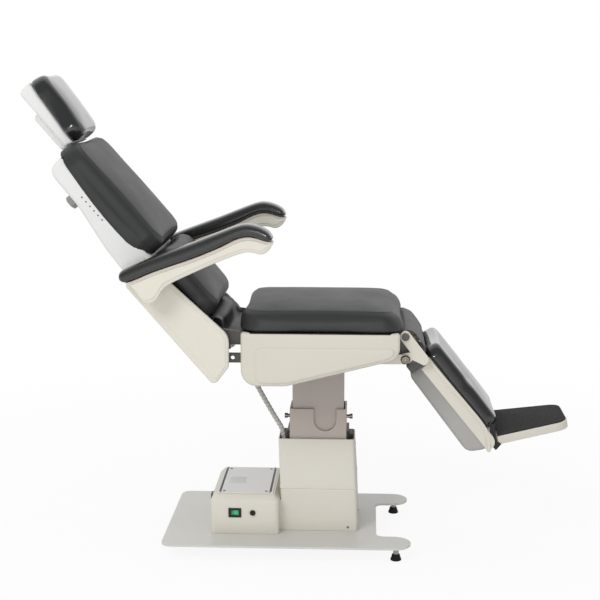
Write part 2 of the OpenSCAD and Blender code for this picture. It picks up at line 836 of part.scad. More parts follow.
// Mains inlet in the rear wall of the box
inlet_y = -40;
inlet_z = 128;
inlet_w = 34;
inlet_h = 28;
inlet_deep = 20;
inlet_pin_r = 1.5;
module power_inlet() {
  w = inlet_w / 2;
  h = inlet_h / 2;
  color(black) in_chair() translate([-box_rear, inlet_y, inlet_z]) {
    difference() {
      union() {
        block(-bezel_out, 0, -w, w, -h, h);
        block(-over, inlet_deep, -w + bezel_lip + seam_gap, w - bezel_lip - seam_gap,
          -h + bezel_lip + seam_gap, h - bezel_lip - seam_gap);
      }
      block(-bezel_out - over, inlet_deep - bezel_lip, -w + 2 * bezel_lip, w - 2 * bezel_lip,
        -h + 2 * bezel_lip, h - 2 * bezel_lip);
    }
    for (y = [-w / 3, 0, w / 3]) translate([0, y, 0])
      bar_x(inlet_pin_r, inlet_deep / 2, inlet_deep - bezel_lip + over);
  }
}

// Transformer and control board inside the power box
module power_supply() {
  x0 = -box_rear + 2 * lid_gap;
  x1 = -cover_rear_mid - lid_gap;
  color(dark_steel) in_chair() {
    block(x0, x1, 0, box_half_w - 2 * lid_gap, plate_top, plate_top + 3 * lid_gap);
    block(x0, x1, -box_half_w + 2 * lid_gap, -lid_gap, plate_top, plate_top + lid_gap / 2);
    block(x0 + lid_gap, x1 - lid_gap, -lid_gap - over, over, plate_top, plate_top + lid_gap / 4);
  }
}

// Lift actuator: motor housing on the plate and a tube for the rod
lift_case_hx = 58;
lift_case_hy = 34;
lift_case_h = 70;
lift_tube_top = 380;
lift_rod_low = 240;
module lift_actuator() {
  color(casing_grey) in_chair() difference() {
    union() {
      block(-lift_case_hx, lift_case_hx, -lift_case_hy, lift_case_hy, plate_top, plate_top + lift_case_h);
      cylinder(r = lift_tube_r, h = lift_tube_top);
    }
    translate([0, 0, plate_top + lift_case_h / 2]) cylinder(r = lift_rod_r + run_gap, h = lift_tube_top);
    block(-lift_tube_r, lift_tube_r, -lift_tube_r, lift_tube_r, -over, plate_top);
  }
}

module lift_rod() {
  color(chrome) in_chair() translate([0, 0, lift_rod_low]) cylinder(r = lift_rod_r,
    h = inner_top - lift_rod_low);
}

module inner_column() {
  color(column_grey) in_chair() difference() {
    block(-inner_hx, inner_hx, -inner_hy, inner_hy, inner_low, inner_top);
    block(inner_wall - inner_hx, inner_hx - inner_wall, inner_wall - inner_hy, inner_hy - inner_wall,
      inner_low - over, inner_top + over);
  }
}

// Height of recline actuator's axis
slot_drop = drive_arm * (1 + cos(39)) / 2;
drive_z = hinge_z - slot_drop;
tail_x = 192;
tail_pin_r = 6;
tail_half = 8;

// Side view of the plates that carry the back hinge
module rear_hinge_outline() {
  rounded([[-back_hinge_x, hinge_z, 1.6 * hinge_pin_r], [-rear_cross_x, rail_top - rail_w / 4, rail_w / 4],
    [-rear_cross_x - rail_w, rail_low + rail_w / 4, rail_w / 4]]);
}

module front_hinge_outline() {
  rounded([[leg_hinge_x, hinge_z, 2 * link_pin_r], [front_cross_x, rail_top - rail_w / 4, rail_w / 4],
    [front_cross_x, rail_low + rail_w / 4, rail_w / 4]]);
}

front_cross_x = seat_cover_front - 1.2 * rail_w;
module seat_frame() {
  rail_rear = rear_cross_x + cross_w;
  rail_front = front_cross_x + cross_w / 2;
  color(dark_steel) in_chair() difference() {
    union() {
      block(-saddle_hx, saddle_hx, -saddle_hy, saddle_hy, inner_top, inner_top + saddle_t);
      blocks(-saddle_hx, saddle_hx, web_half, web_half + web_t, inner_top + saddle_t - over,
        rail_top - over);
      blocks(-rail_rear, rail_front, web_half + web_t, web_half + web_t + rail_w, rail_low, rail_top);
      block(-rail_rear, -rear_cross_x, -hinge_in - link_t, hinge_in + link_t, rail_low, rail_top);
      block(front_cross_x - cross_w / 2, rail_front, -hinge_in - link_t, hinge_in + link_t, rail_low,
        rail_top);
      slabs(hinge_in, hinge_in + link_t) rear_hinge_outline();
      slabs(hinge_in, hinge_in + link_t) front_hinge_outline();
      blocks(tail_x - 2 * tail_pin_r, tail_x + 2 * tail_pin_r, tail_half, tail_half + web_t,
        drive_z - 2 * tail_pin_r, rail_low);
      blocks(tail_x - 2 * tail_pin_r, rail_front, tail_half, tail_half + web_t, rail_low - over,
        rail_low + web_t);
    }
    translate([-back_hinge_x, 0, hinge_z]) bars_y(hinge_pin_r + run_gap, hinge_in - over,
      hinge_in + link_t + over);
    translate([leg_hinge_x, 0, hinge_z]) bars_y(link_pin_r + run_gap, hinge_in - over,
      hinge_in + link_t + over);
    translate([tail_x, 0, drive_z]) bar_y(tail_pin_r + run_gap, -tail_half - web_t - over,
      tail_half + web_t + over);
    blocks(-seat_cover_rear, seat_cover_front - skin_t - seam_gap, hinge_in - over,
      hinge_in + link_t + over,
      rail_top, board_top + 2 * over);
  }
}

// Pins of the back, the leg rest and the recline actuator's tail
pin_head_t = 4;
module hinge_pins() {
  color(dark_steel) in_chair() {
    translate([-back_hinge_x, 0, hinge_z]) {
      bars_y(hinge_pin_r, hinge_in - pin_head_t / 2, plate_in + link_t);
      bars_y(1.3 * hinge_pin_r, hinge_in - pin_head_t - seam_gap, hinge_in - seam_gap);
    }
    translate([leg_hinge_x, 0, hinge_z]) {
      bars_y(link_pin_r, hinge_in - pin_head_t / 2, plate_in + link_t + pin_head_t);
      bars_y(1.4 * link_pin_r, plate_in + link_t + seam_gap, plate_in + link_t + pin_head_t);
    }
    translate([tail_x, 0, drive_z]) bar_y(tail_pin_r, -tail_half - web_t, tail_half + web_t);
  }
}

module seat_board() {
  hy = seat_cover_half - skin_t - seam_gap;
  inset = skin_t + seam_gap;
  color(wood) in_chair() translate([0, 0, board_low]) linear_extrude(board_t) polygon(both_sides([
    [seat_cover_front - inset - over, hy - rail_w], [seat_cover_front - inset - rail_w, hy],
    [-seat_cover_rear + inset + rail_w, hy], [-seat_cover_rear + inset + over, hy - rail_w]]));
}

module seat_cushion() {
  color(vinyl) in_chair() translate([(seat_front - seat_rear) / 2, 0, board_top + seam_gap])
    cushion((seat_front + seat_rear) / 2, seat_half_w, seat_wall, seat_crown, seat_edge, seat_corner_r);
}

// Side view of the seat covers, inset all round
module seat_cover_outline(inset) {
  rt = 6 * over;
  difference() {
    seat_cover_blob(inset, rt);
    translate([-seat_cover_rear, board_top]) square([seat_cover_rear + seat_cover_front, seat_belly_r]);
  }
}

module seat_cover_blob(inset, rt) {
  rounded([
    [rt - seat_cover_rear, board_top - rt, rt], [seat_cover_front - rt, board_top - rt, rt],
    [seat_cover_rear_r - seat_cover_rear, seat_cover_low + seat_cover_rear_r, seat_cover_rear_r],
    [-seat_belly_x, seat_cover_low + seat_belly_r, seat_belly_r],
    [seat_cover_front - seat_cover_nose_r, seat_cover_nose + seat_cover_nose_r, seat_cover_nose_r]], inset);
}

// A seat cover: a side wall with a rim turned in round its rear, belly and front
module seat_cover() {
  y1 = seat_cover_half;
  y0 = seat_cover_half - seat_cover_deep;
  difference() {
    slab(y0, y1) seat_cover_outline(0);
    slab(y0 - over, y1 - skin_t) seat_cover_outline(skin_t);
    block(skin_t - seat_cover_rear, seat_cover_front - skin_t, y0 - over, y1 - skin_t,
      board_top - 3 * skin_t, board_top + over);
  }
}

module seat_cover_right() {
  color(cream) in_chair() mirror([0, 1, 0]) seat_cover();
}

module seat_cover_left() {
  color(cream) in_chair() seat_cover();
}

// Recline actuator under the seat
recline_x0 = -150;
recline_x1 = 30;
gear_l = 32;
gear_half = 26;
motor_r = 19;
motor_y = 42;
motor_l = 100;
module recline_actuator() {
  color(casing_grey) in_chair() translate([0, 0, drive_z]) difference() {
    union() {
      bar_x(recline_tube_r, recline_x0, recline_x1 + over);
      block(recline_x1, recline_x1 + gear_l, -gear_half, motor_y + motor_r, -gear_half, gear_half);
      translate([0, motor_y, 0]) bar_x(motor_r, recline_x1 - motor_l, recline_x1 + over);
      bar_x(tail_half, recline_x1 + gear_l - over, tail_x - tail_half);
      block(tail_x - 2 * tail_half, tail_x + 1.6 * tail_pin_r, -tail_half + seam_gap, tail_half - seam_gap,
        -1.6 * tail_pin_r, 1.6 * tail_pin_r);
    }
    bar_x(recline_rod_r + run_gap, recline_x0 - over, recline_x1 - 2 * over);
    translate([tail_x, 0, 0]) bar_y(tail_pin_r + run_gap, -tail_half - over, tail_half + over);
  }
}

// Rod of the recline actuator with a slotted eye for the drive pin
drive_x = -back_hinge_x - drive_arm * sin(drive_lean);
slot_half = drive_arm * (1 - cos(39)) / 2 + over;
slot_play = 1.7;
eye_half = 16;
eye_wall = 8;
eye_half_w = 10;
recline_rod_x1 = -60;
module recline_rod() {
  tall = slot_half + drive_pin_r + eye_wall;
  color(chrome) in_chair() translate([0, 0, drive_z]) difference() {
    union() {
      block(drive_x - eye_half, drive_x + eye_half, -eye_half_w, eye_half_w, -tall, tall);
      bar_x(recline_rod_r, drive_x + eye_half - over, recline_rod_x1);
    }
    translate([drive_x, 0, 0]) slab(-eye_half_w - over, eye_half_w + over) union() {
      for (s = [-1, 1]) translate([0, s * slot_half]) circle(r = drive_pin_r + slot_play);
      square([2 * (drive_pin_r + slot_play), 2 * slot_half], center = true);
    }
  }
}

// Link bars that make the leg rest follow the back
link_z = hinge_z - link_arm;
spare_hole_r = 6;
spare_hole_x = -240;
module link_bars() {
  color(dark_steel) in_chair() difference() {
    slabs(bar_in, bar_out) hull() {
      translate([-back_hinge_x, link_z]) circle(r = bar_h / 2);
      translate([leg_hinge_x, link_z]) circle(r = bar_h / 2);
    }
    translate([-back_hinge_x, 0, link_z]) bars_y(link_pin_r + run_gap, bar_in - over, bar_out + over);
    translate([leg_hinge_x, 0, link_z]) bars_y(link_pin_r + run_gap, bar_in - over, bar_out + over);
    translate([spare_hole_x, 0, link_z]) bars_y(spare_hole_r, bar_in - over, bar_out + over);
  }
}

module link_pins() {
  color(chrome) in_chair() for (x = [-back_hinge_x, leg_hinge_x]) translate([x, 0, link_z]) {
    bars_y(link_pin_r, plate_in - over, bar_out + over);
    bars_y(1.6 * link_pin_r, bar_out + seam_gap, bar_out + pin_head_t + over);
  }
}

// Vinyl flaps from the back to the seat, and from the seat to the leg rest
flap_t = 3;
flap_half = 174;
// From back or leg coordinates to the chair's side view
function from_back(p) = let (a = 90 - back_angle)
  [p[0] * cos(a) - p[1] * sin(a) - back_hinge_x, p[0] * sin(a) + p[1] * cos(a) + hinge_z];
function from_leg(p) = let (a = 90 - leg_angle)
  [p[0] * cos(a) - p[1] * sin(a) + leg_hinge_x, p[0] * sin(a) + p[1] * cos(a) + hinge_z];

// Each flap ends on the next piece
rear_flap_shares = [[-1.13, 0.53], [-1.02, 0.45], [-0.87, 0.10], [-0.68, -0.10], [-0.52, -0.19],
  [-0.32, -0.21], [-0.12, -0.19], [0.012, -0.10], [0.012, -0.02]];
front_flap_shares = [[-0.26, -0.19], [-0.26, -0.02], [-0.04, -0.02], [0.15, 0.03], [0.37, -0.03],
  [0.55, -0.15], [0.75, -0.40], [0.92, -0.65], [1.07, -0.93]];
flap_back = [[seam_gap - board_t, lumbar_low - 6 * flap_t], [seam_gap - board_t, lumbar_low - 3 * flap_t],
  [-1.3 * flap_t, lumbar_low - 1.5 * flap_t], [3.2 * flap_t, lumbar_low - 1.8 * flap_t]];
rear_flap_points = concat([for (p = flap_back) from_back(p)],
  [for (s = rear_flap_shares) [-seat_rear, board_top] + s * seat_wall]);
front_flap_points = concat([for (s = front_flap_shares) [seat_front, board_top] + s * seat_wall],
  [for (z = [-leg_top, seam_gap - casing_top]) from_leg([leg_pan_x - 2 * seam_gap, z])]);

// Outward normal of a line of points at point i
function line_normal(points, i) = let (
  a = points[max(i - 1, 0)], b = points[min(i + 1, len(points) - 1)], d = b - a, l = norm(d))
  [-d[1] / l, d[0] / l];

// A strip along a line of points in the side view, t thick
module strip(points, t) {
  polygon(concat(points, [for (i = [len(points) - 1:-1:0]) points[i] - line_normal(points, i) * t]));
}

module rear_flap() {
  color(vinyl) in_chair() slab(-flap_half, flap_half) strip(rear_flap_points, flap_t);
}

module front_flap() {
  color(vinyl) in_chair() slab(-flap_half, flap_half) strip(front_flap_points, flap_t);
}

// Route of the cable hose, from its gland to its clip
hose_y = -30;
hose_shares = [[0, 1], [0, 0.91], [0.13, 0.72], [0.40, 0.53], [0.68, 0.355], [0.92, 0.225], [1, 0.11], [1,
  0]];
hose_top = [-205, 560];
hose_run = [101, 275];
hose_points = [for (s = hose_shares)
  [hose_top[0] + hose_run[0] * s[0], hose_top[1] - hose_run[1] * (1 - s[1])]];
hose_steps = 12;

// Point at share t of a smooth curve through the route
function route_at(t) = let (n = len(hose_points) - 1, u = min(t * n, n - 0.000001), i = floor(u), f = u - i,
  p0 = hose_points[max(i - 1, 0)], p1 = hose_points[i], p2 = hose_points[i + 1],
  p3 = hose_points[min(i + 2, n)])
  0.5 * (2 * p1 + (p2 - p0) * f + (2 * p0 - 5 * p1 + 4 * p2 - p3) * f * f
    + (3 * p1 - p0 - 3 * p2 + p3) * f * f * f);

// A ring of the hose, square to its route
hose_sides = 8;
function hose_ring(t, r) = let (p = route_at(t), d = route_at(min(t + 0.002, 1)) - route_at(max(t - 0.002,
  0)),
  l = norm(d), nx = -d[1] / l, nz = d[0] / l)
  [for (i = [0:hose_sides - 1]) let (a = 360 * i / hose_sides)
    [p[0] + nx * r * cos(a), hose_y + r * sin(a), p[1] + nz * r * cos(a)]];

module cable_hose() {
  outer = concat([hose_ring(0, hose_r)],
    [for (k = [0:rib_count - 1]) let (t0 = 0.04 + 0.92 * k / rib_count, dt = 0.92 / rib_count)
      each [hose_ring(t0 + 0.25 * dt, hose_r - rib_deep), hose_ring(t0 + 0.75 * dt, hose_r)]],
    [hose_ring(1, hose_r)]);
  inner = [for (k = [hose_steps:-1:0]) hose_ring(k / hose_steps, hose_bore_r)];
  rings = concat(outer, inner);
  n = hose_sides;
  m = len(rings);
  color(white_shell) in_chair() polyhedron(points = [for (r = rings) each r],
    faces = [for (k = [0:m - 1], i = [0:n - 1]) let (j = (i + 1) % n, q = (k + 1) % m)
      each [[k * n + i, q * n + j, q * n + i], [k * n + i, k * n + j, q * n + j]]]);
}

// Gland on the seat frame and clip in the column cover
gland_h = 18;
module hose_gland() {
  top = hose_points[0];
  color(chrome) in_chair() translate([top[0], hose_y, top[1] + seam_gap]) {
    cylinder(r = hose_r + over, h = gland_h);
    translate([0, 0, gland_h - over]) cylinder(r = hose_r - over, h = rail_low - top[1] - gland_h);
    block(0, -top[0] - rear_cross_x + over, -hose_r, hose_r, rail_low - top[1] - 3 * over,
      rail_low - top[1] - seam_gap);
  }
}

module hose_clip() {
  low = hose_points[len(hose_points) - 1];
  color(white_shell) in_chair() {
    translate([low[0], hose_y, low[1] - gland_h]) cylinder(r = hose_r + over, h = gland_h - seam_gap);
    block(low[0], -outer_hx - seam_gap, hose_y - hose_r, hose_y + hose_r, low[1] - gland_h,
      low[1] - gland_h + 2 * over);
  }
}

// Points that several pieces of the back share
pin_local = [-link_arm * cos(back_angle), -link_arm * sin(back_angle)];
drive_local = [-drive_arm * cos(back_angle - drive_lean), -drive_arm * sin(back_angle - drive_lean)];
tube_x = -side_cover_rear + 19 * over;
tube_s = 25;
tube_z = -5;
standoffs = [[tube_x + tube_s / 2, tube_z + tube_s / 2], [-side_cover_rear + 3 * spigot_r / 2,
  lumbar_low + rail_w * 3]];
standoff_r = 8;
lever_in = 14;
lever_t = 6;

module back_frame() {
  pan_low = 40;
  pan_high = cushion_top - 2 * hinge_pin_r;
  slide_mid = -slide_x + slide_t / 2;
  guide_wall = 3.5;
  color(dark_steel) in_back() difference() {
    union() {
      slabs(plate_in, plate_in + link_t) rounded([[0, 0, 2 * hinge_pin_r],
        [pin_local[0], pin_local[1], 2 * link_pin_r], [tube_x + tube_s / 2, tube_z + tube_s / 2,
          tube_s / 2]]);
      slabs(plate_in, plate_in + link_t) rounded([[-hinge_pin_r - board_t, pan_low, hinge_pin_r],
        [-hinge_pin_r - board_t, shell_low - hinge_pin_r, hinge_pin_r],
        [-arm_pivot_x - spigot_r, shell_low - 1.5 * spigot_r, spigot_r],
        [tube_x + tube_s / 2, tube_z + tube_s / 2, tube_s / 2]]);
      block(-board_t - pan_t, -board_t, -plate_in - over, plate_in + over, pan_low, shell_low);
      block(-board_t - pan_t, -board_t, -shell_half + 3 * skin_t, shell_half - 3 * skin_t, shell_low - over,
        pan_high);
      block(tube_x, tube_x + tube_s, -plate_in - over, plate_in + over, tube_z, tube_z + tube_s);
      slabs(lever_in, lever_in + lever_t) hull() {
        translate(drive_local) circle(r = 1.7 * drive_pin_r);
        translate([tube_x, tube_z]) square([tube_s, tube_s]);
      }
      translate([drive_local[0], 0, drive_local[1]]) bar_y(drive_pin_r, -lever_in - over, lever_in + over);
      for (p = standoffs) translate([p[0], 0, p[1]])
        bars_y(standoff_r, plate_in + link_t - over, side_cover_half - skin_t - seam_gap);
      block(slide_mid - slide_t / 2 - guide_wall, -board_t - pan_t + over, -slide_w / 2 - guide_wall,
        slide_w / 2 + guide_wall, slide_low + rail_w * 2, shell_top - 4 * skin_t);
    }
    block(slide_mid - slide_t / 2 - seam_gap, slide_mid + slide_t / 2 + seam_gap, -slide_w / 2 - seam_gap,
      slide_w / 2 + seam_gap, slide_low, shell_top + over);
    translate([0, 0, knob_z]) bar_x(knob_screw_r + run_gap, -slide_x - 2 * guide_wall, -slide_x + over);
    bars_y(hinge_pin_r + run_gap, plate_in - over, plate_in + link_t + over);
    translate([pin_local[0], 0, pin_local[1]]) bars_y(link_pin_r + run_gap, plate_in - over,
      plate_in + link_t + over);
    translate([-arm_pivot_x, 0, arm_pivot_z]) bars_y(spigot_r + run_gap, plate_in - over,
      plate_in + link_t + over);
  }
}

// Boards that the back cushions are upholstered on
module back_boards() {
  inset = back_edge / 4;
  color(wood) in_back() {
    block(-board_t, 0, -shell_half + 3 * skin_t, shell_half - 3 * skin_t, cushion_low + inset,
      cushion_top - inset - 2 * skin_t);
    block(-board_t, 0, -plate_in, plate_in, lumbar_low + inset, lumbar_top - inset);
  }
}

// A cushion on the back or the leg rest, from z0 to z1
module standing_cushion(x, z0, z1, half, wall, crown, edge, r) {
  translate([x + seam_gap, 0, (z0 + z1) / 2]) rotate([0, 90, 0])
    cushion((z1 - z0) / 2, half, wall, crown, edge, r);
}

module back_cushion() {
  color(vinyl) in_back()
    standing_cushion(0, cushion_low, cushion_top, back_half_w, back_wall, back_crown, back_edge,
      back_corner_r);
}

module lumbar_cushion() {
  color(vinyl) in_back()
    standing_cushion(0, lumbar_low, lumbar_top, back_half_w, back_wall, back_crown, back_edge,
      back_corner_r);
}

// Side view of the upper shell: share of its depth, share of its length
shell_shares = [[0.04, 0], [1, 0], [0.92, 0.29], [0.68, 0.66], [0.655, 0.93], [0.54, 0.985], [0.04, 1]];
shell_outline = [for (s = shell_shares) [-shell_deep * s[0], shell_low + (shell_top - shell_low) * s[1]]];

module upper_back_shell() {
  inner = [for (p = shell_outline) [min(p[0] + skin_t, over), min(p[1], shell_top - skin_t)]];
  color(white_shell) in_back() difference() {
    slab(-shell_half, shell_half) polygon(shell_outline);
    slab(-shell_half + skin_t, shell_half - skin_t) offset(delta = -skin_t) polygon(shell_outline);
    block(-skin_t - 4 * over, over, -shell_half + skin_t, shell_half - skin_t, shell_low - over,
      shell_top - skin_t);
    block(-shell_deep + skin_t, over, -shell_half + skin_t, shell_half - skin_t, shell_low - over,
      shell_low + 2 * skin_t);
    block(-slide_x - seam_gap, slide_t - slide_x + seam_gap, -slide_w / 2 - seam_gap,
      slide_w / 2 + seam_gap,
      shell_top - 3 * skin_t, shell_top + over);
    translate([0, 0, knob_z]) bar_x(knob_neck_r + seam_gap, -shell_deep, -shell_deep / 2);
  }
}

// Side view of the lower side covers, inset all round
module side_cover_outline(inset) {
  rounded([[8 * over - side_cover_rear, side_cover_top - 8 * over, 8 * over],
    [16 * over - side_cover_rear, 16 * over - side_cover_low, 16 * over],
    [19 * over - 0.62 * side_cover_rear, 28 * over - side_cover_low, 19 * over],
    [-2.6 * hinge_pin_r, 6 * over, 4.9 * hinge_pin_r],
    [-16 * over, side_cover_top - 8 * over, 8 * over]], inset);
}

module back_cover() {
  y1 = side_cover_half;
  difference() {
    slab(side_cover_in, y1) side_cover_outline(0);
    slab(side_cover_in - over, y1 - skin_t) side_cover_outline(skin_t);
    translate([-arm_pivot_x, 0, arm_pivot_z]) bar_y(spigot_r + seam_gap, side_cover_in - over, y1 + over);
  }
}

module back_cover_right() {
  color(cream) in_back() mirror([0, 1, 0]) back_cover();
}

module back_cover_left() {
  color(cream) in_back() back_cover();
}

module rear_cover() {
  y1 = side_cover_in - seam_gap;
  x0 = -side_cover_rear + skin_t + seam_gap;
  color(cream) in_back() {
    block(x0, x0 + skin_t, -y1, y1, -side_cover_low / 2, shell_low - seam_gap);
    blocks(x0, x0 + 4 * skin_t, y1 - skin_t, y1, -side_cover_low / 2, shell_low - seam_gap);
  }
}

// Row of raised dots on the side of the upper shell
dot_count = 6;
dot_pitch = 17;
dot_r = 2;
module key_strip() {
  color(dark_steel) in_back() for (k = [0:dot_count - 1])
    translate([-0.38 * shell_deep, 0, 0.68 * (shell_top - shell_low) + shell_low - k * dot_pitch])
      bar_y(dot_r, -shell_half - over, -shell_half);
}

// Spigots of the arms
spigot_out = 300;
module arm_spigots() {
  color(dark_steel) in_back() translate([-arm_pivot_x, 0, arm_pivot_z]) {
    bars_y(spigot_r, plate_in, spigot_out);
    bars_y(spigot_r + 5 * over, plate_in + link_t, side_cover_half - skin_t - seam_gap);
  }
}

// Side view of an arm: share of its length, share of its height
arm_top_shares = [[-0.145, 0.80], [-0.13, 0.90], [-0.07, 0.965], [0.05, 1.0], [0.25, 1.005], [0.45, 1.0],
  [0.62, 1.015], [0.78, 1.02], [0.86, 0.95], [0.93, 0.74], [0.98, 0.48], [1.0, 0.27]];
arm_seam_shares = [[-0.145, 0.575], [-0.12, 0.51], [-0.03, 0.50], [0.09, 0.53], [0.25, 0.52], [0.40, 0.50],
  [0.60, 0.53], [0.74, 0.60], [0.82, 0.56], [0.88, 0.42], [0.94, 0.20], [0.985, 0.09]];
arm_low_shares = [[0.985, 0.04], [0.955, -0.10], [0.91, -0.19], [0.87, -0.175], [0.82, -0.02], [0.75, 0.08],
  [0.56, 0.075], [0.35, 0.01], [0.19, -0.06], [0.12, -0.17], [0.065, -0.38], [0.02, -0.46], [-0.03, -0.40],
  [-0.062, 0.03], [-0.09, 0.49]];

function arm_points(shares) = [for (s = shares) [arm_l * s[0], arm_h * s[1]]];

// Pad: rounded box sections along the arm
pad_sides = 14;
pad_round = 0.55;
module arm_pad() {
  top = arm_points(arm_top_shares);
  low = arm_points(arm_seam_shares);
  mid_y = arm_in + arm_pad_w / 2;
  n = len(top) - 1;
  rings = [for (k = [0:n]) let (w = (k == 0 || k == n) ? 0.62 : 1, c = (top[k] + low[k]) / 2,
      d = (top[k] - low[k]) / 2, s = (k == 0 || k == n) ? 0.5 : 1)
    [for (i = [0:pad_sides - 1]) let (a = 360 * i / pad_sides,
        u = sign(cos(a)) * pow(abs(cos(a)), pad_round), v = sign(sin(a)) * pow(abs(sin(a)), pad_round))
      [c[0] + d[0] * v * s, mid_y + u * w * arm_pad_w / 2, c[1] + seam_gap + d[1] * v * s]]];
  skin(rings);
}

module arm_body() {
  y0 = arm_in + (arm_pad_w - arm_body_w) / 2;
  y1 = y0 + arm_body_w;
  low = arm_points(arm_low_shares);
  seam = arm_points(arm_seam_shares);
  difference() {
    union() {
      slab(y0, y1) polygon(concat([for (k = [1:len(seam) - 1]) seam[k] - [0, 2 * seam_gap]], low));
      bar_y(1.6 * spigot_r, side_cover_half + over, y0 + over);
    }
    bar_y(spigot_r + run_gap, side_cover_half - over, spigot_out + over);
  }
}

module arm_body_right() {
  color(cream) in_arm() mirror([0, 1, 0]) arm_body();
}

module arm_pad_right() {
  color(vinyl) in_arm() mirror([0, 1, 0]) arm_pad();
}

module arm_body_left() {
  color(cream) in_arm() arm_body();
}

module arm_pad_left() {
  color(vinyl) in_arm() arm_pad();
}

// Headrest slide: the bar in the back and the bracket with the tilt pin
bracket_low = 704;
bracket_high = 814;
tilt_z = 804;
tilt_x = -9;
tilt_r = 5;
bracket_half = 30;
head_lug_half = 20;
module head_slide() {
  color(chrome) in_back() {
    block(-slide_x, slide_t - slide_x, -slide_w / 2, slide_w / 2, slide_low, bracket_high);
    blocks(-slide_x, tilt_x + 1.6 * tilt_r, head_lug_half + seam_gap, bracket_half,
      bracket_high - 5 * tilt_r,
      bracket_high);
    translate([tilt_x, 0, tilt_z]) bar_y(tilt_r, -bracket_half, bracket_half);
  }
}

// Cover of the bracket behind the headrest
module head_bracket_cover() {
  x0 = -slide_x - skin_t - seam_gap;
  x1 = tilt_x + 1.6 * tilt_r + seam_gap;
  top = bracket_high + 4 * tilt_r;
  color(white_shell) in_back() difference() {
    slab(-head_cover_half, head_cover_half) polygon([[x0, bracket_low], [x1, bracket_low],
      [x1, bracket_high], [x1 - 1.6 * tilt_r, top - tilt_r], [x0 + 2 * tilt_r, top],
      [x0, top - 2 * tilt_r]]);
    slab(-head_cover_half + skin_t, head_cover_half - skin_t) polygon([[x0 + skin_t, bracket_low - over],
      [x1 + over, bracket_low - over], [x1 + over, top - tilt_r - skin_t],
      [x0 + 2 * tilt_r, top - skin_t], [x0 + skin_t, top - 2 * tilt_r - over]]);
  }
}

// Headrest tray with a lug for the tilt pin
head_shell_deep = 44;
module head_shell() {
  hy = head_half_w - head_edge / 4;
  lug_x = tilt_x + 1.6 * tilt_r;
  color(white_shell) in_back() difference() {
    union() {
      difference() {
        head_tray(0, hy);
        head_tray(skin_t, hy - skin_t);
      }
      slab(-head_lug_half, head_lug_half) rounded([[tilt_x, tilt_z, 1.3 * tilt_r],
        [head_tray_x + tilt_r, tilt_z, 1.5 * tilt_r]]);
    }
    translate([tilt_x, 0, tilt_z]) bar_y(tilt_r + run_gap, -head_lug_half - over, head_lug_half + over);
  }
}

// Solid form of the headrest tray
head_tray_x = 4;
module head_tray(inset, half) {
  top_z = head_low + head_l * 0.97;
  open = inset > 0 ? 2 * over : 0;
  slab(-half, half) polygon([
    [head_tray_x + inset, head_low + 2 * skin_t + inset], [head_tray_x + inset, top_z - 3 * skin_t - inset],
    [head_tray_x + 2 * skin_t + inset, top_z - inset],
    [head_x + head_l * sin(head_lean) + open, top_z + skin_t - inset],
    [head_x + open, head_low + inset]]);
}

module head_cushion() {
  color(vinyl) in_head() translate([seam_gap, 0, 0])
    standing_cushion(0, 0, head_l, head_half_w, head_wall, head_crown, head_edge, head_corner_r);
}

// Lock knob: screw, neck and a head with six lobes
knob_screw_r = 4;
knob_neck_r = 9;
knob_x = -shell_deep - 10;
module lock_knob() {
  lobe_r = knob_r / 3;
  color(casing_grey) in_back() translate([0, 0, knob_z]) {
    bar_x(knob_screw_r, knob_x - over, -slide_x - seam_gap);
    bar_x(knob_neck_r, knob_x - over, -shell_deep * 0.66);
    bar_x(knob_r - lobe_r / 2, knob_x - knob_h, knob_x);
    for (k = [0:5]) rotate([60 * k, 0, 0]) translate([0, 0, knob_r - lobe_r])
      bar_x(lobe_r, knob_x - knob_h + over, knob_x - over);
  }
}

// Leg rest frame: hinge plates, two bars and a sheet between them
leg_bar_x = -53;
leg_bar_top = 72;
leg_bar_out = 160;
link_leg = [-link_arm * cos(leg_angle), -link_arm * sin(leg_angle)];
module leg_frame() {
  bar_low = casing_low - leg_bar;
  x1 = leg_bar_x + leg_bar;
  color(cream) in_leg() difference() {
    union() {
      slabs(plate_in, plate_in + link_t) rounded([[0, 0, 2 * link_pin_r],
        [-link_pin_r / 4, 2 * link_pin_r - casing_top - pin_head_t, 2 * link_pin_r]]);
      slabs(plate_in, plate_in + link_t) rounded([[link_leg[0], link_leg[1], 2 * link_pin_r],
        [-link_pin_r / 4, -leg_bar_top, 2 * link_pin_r]]);
      blocks(leg_bar_x, -link_pin_r, leg_bar_out - leg_bar, plate_in + over, -casing_top + over,
        -leg_bar_top);
      blocks(leg_bar_x, x1, leg_bar_out - leg_bar, leg_bar_out, -bar_low, -leg_bar_top);
      block(x1 - pan_t, x1, -leg_bar_out, leg_bar_out, -bar_low, -casing_top - leg_bar);
      for (z = [casing_top + 2 * leg_bar, leg_low - 2 * leg_bar])
        block(x1 - over, leg_pan_x - leg_pan_deep - seam_gap, -leg_bar_out, leg_bar_out, -z - pan_t, -z);
    }
    bars_y(link_pin_r + run_gap, plate_in - over, plate_in + link_t + over);
    translate([link_leg[0], 0, link_leg[1]]) bars_y(link_pin_r + run_gap, plate_in - over,
      plate_in + link_t + over);
    blocks(leg_bar_x + pan_t, x1 - pan_t, leg_bar_out - leg_bar + pan_t, leg_bar_out - pan_t,
      -bar_low - over, -leg_bar_top - leg_bar);
  }
}

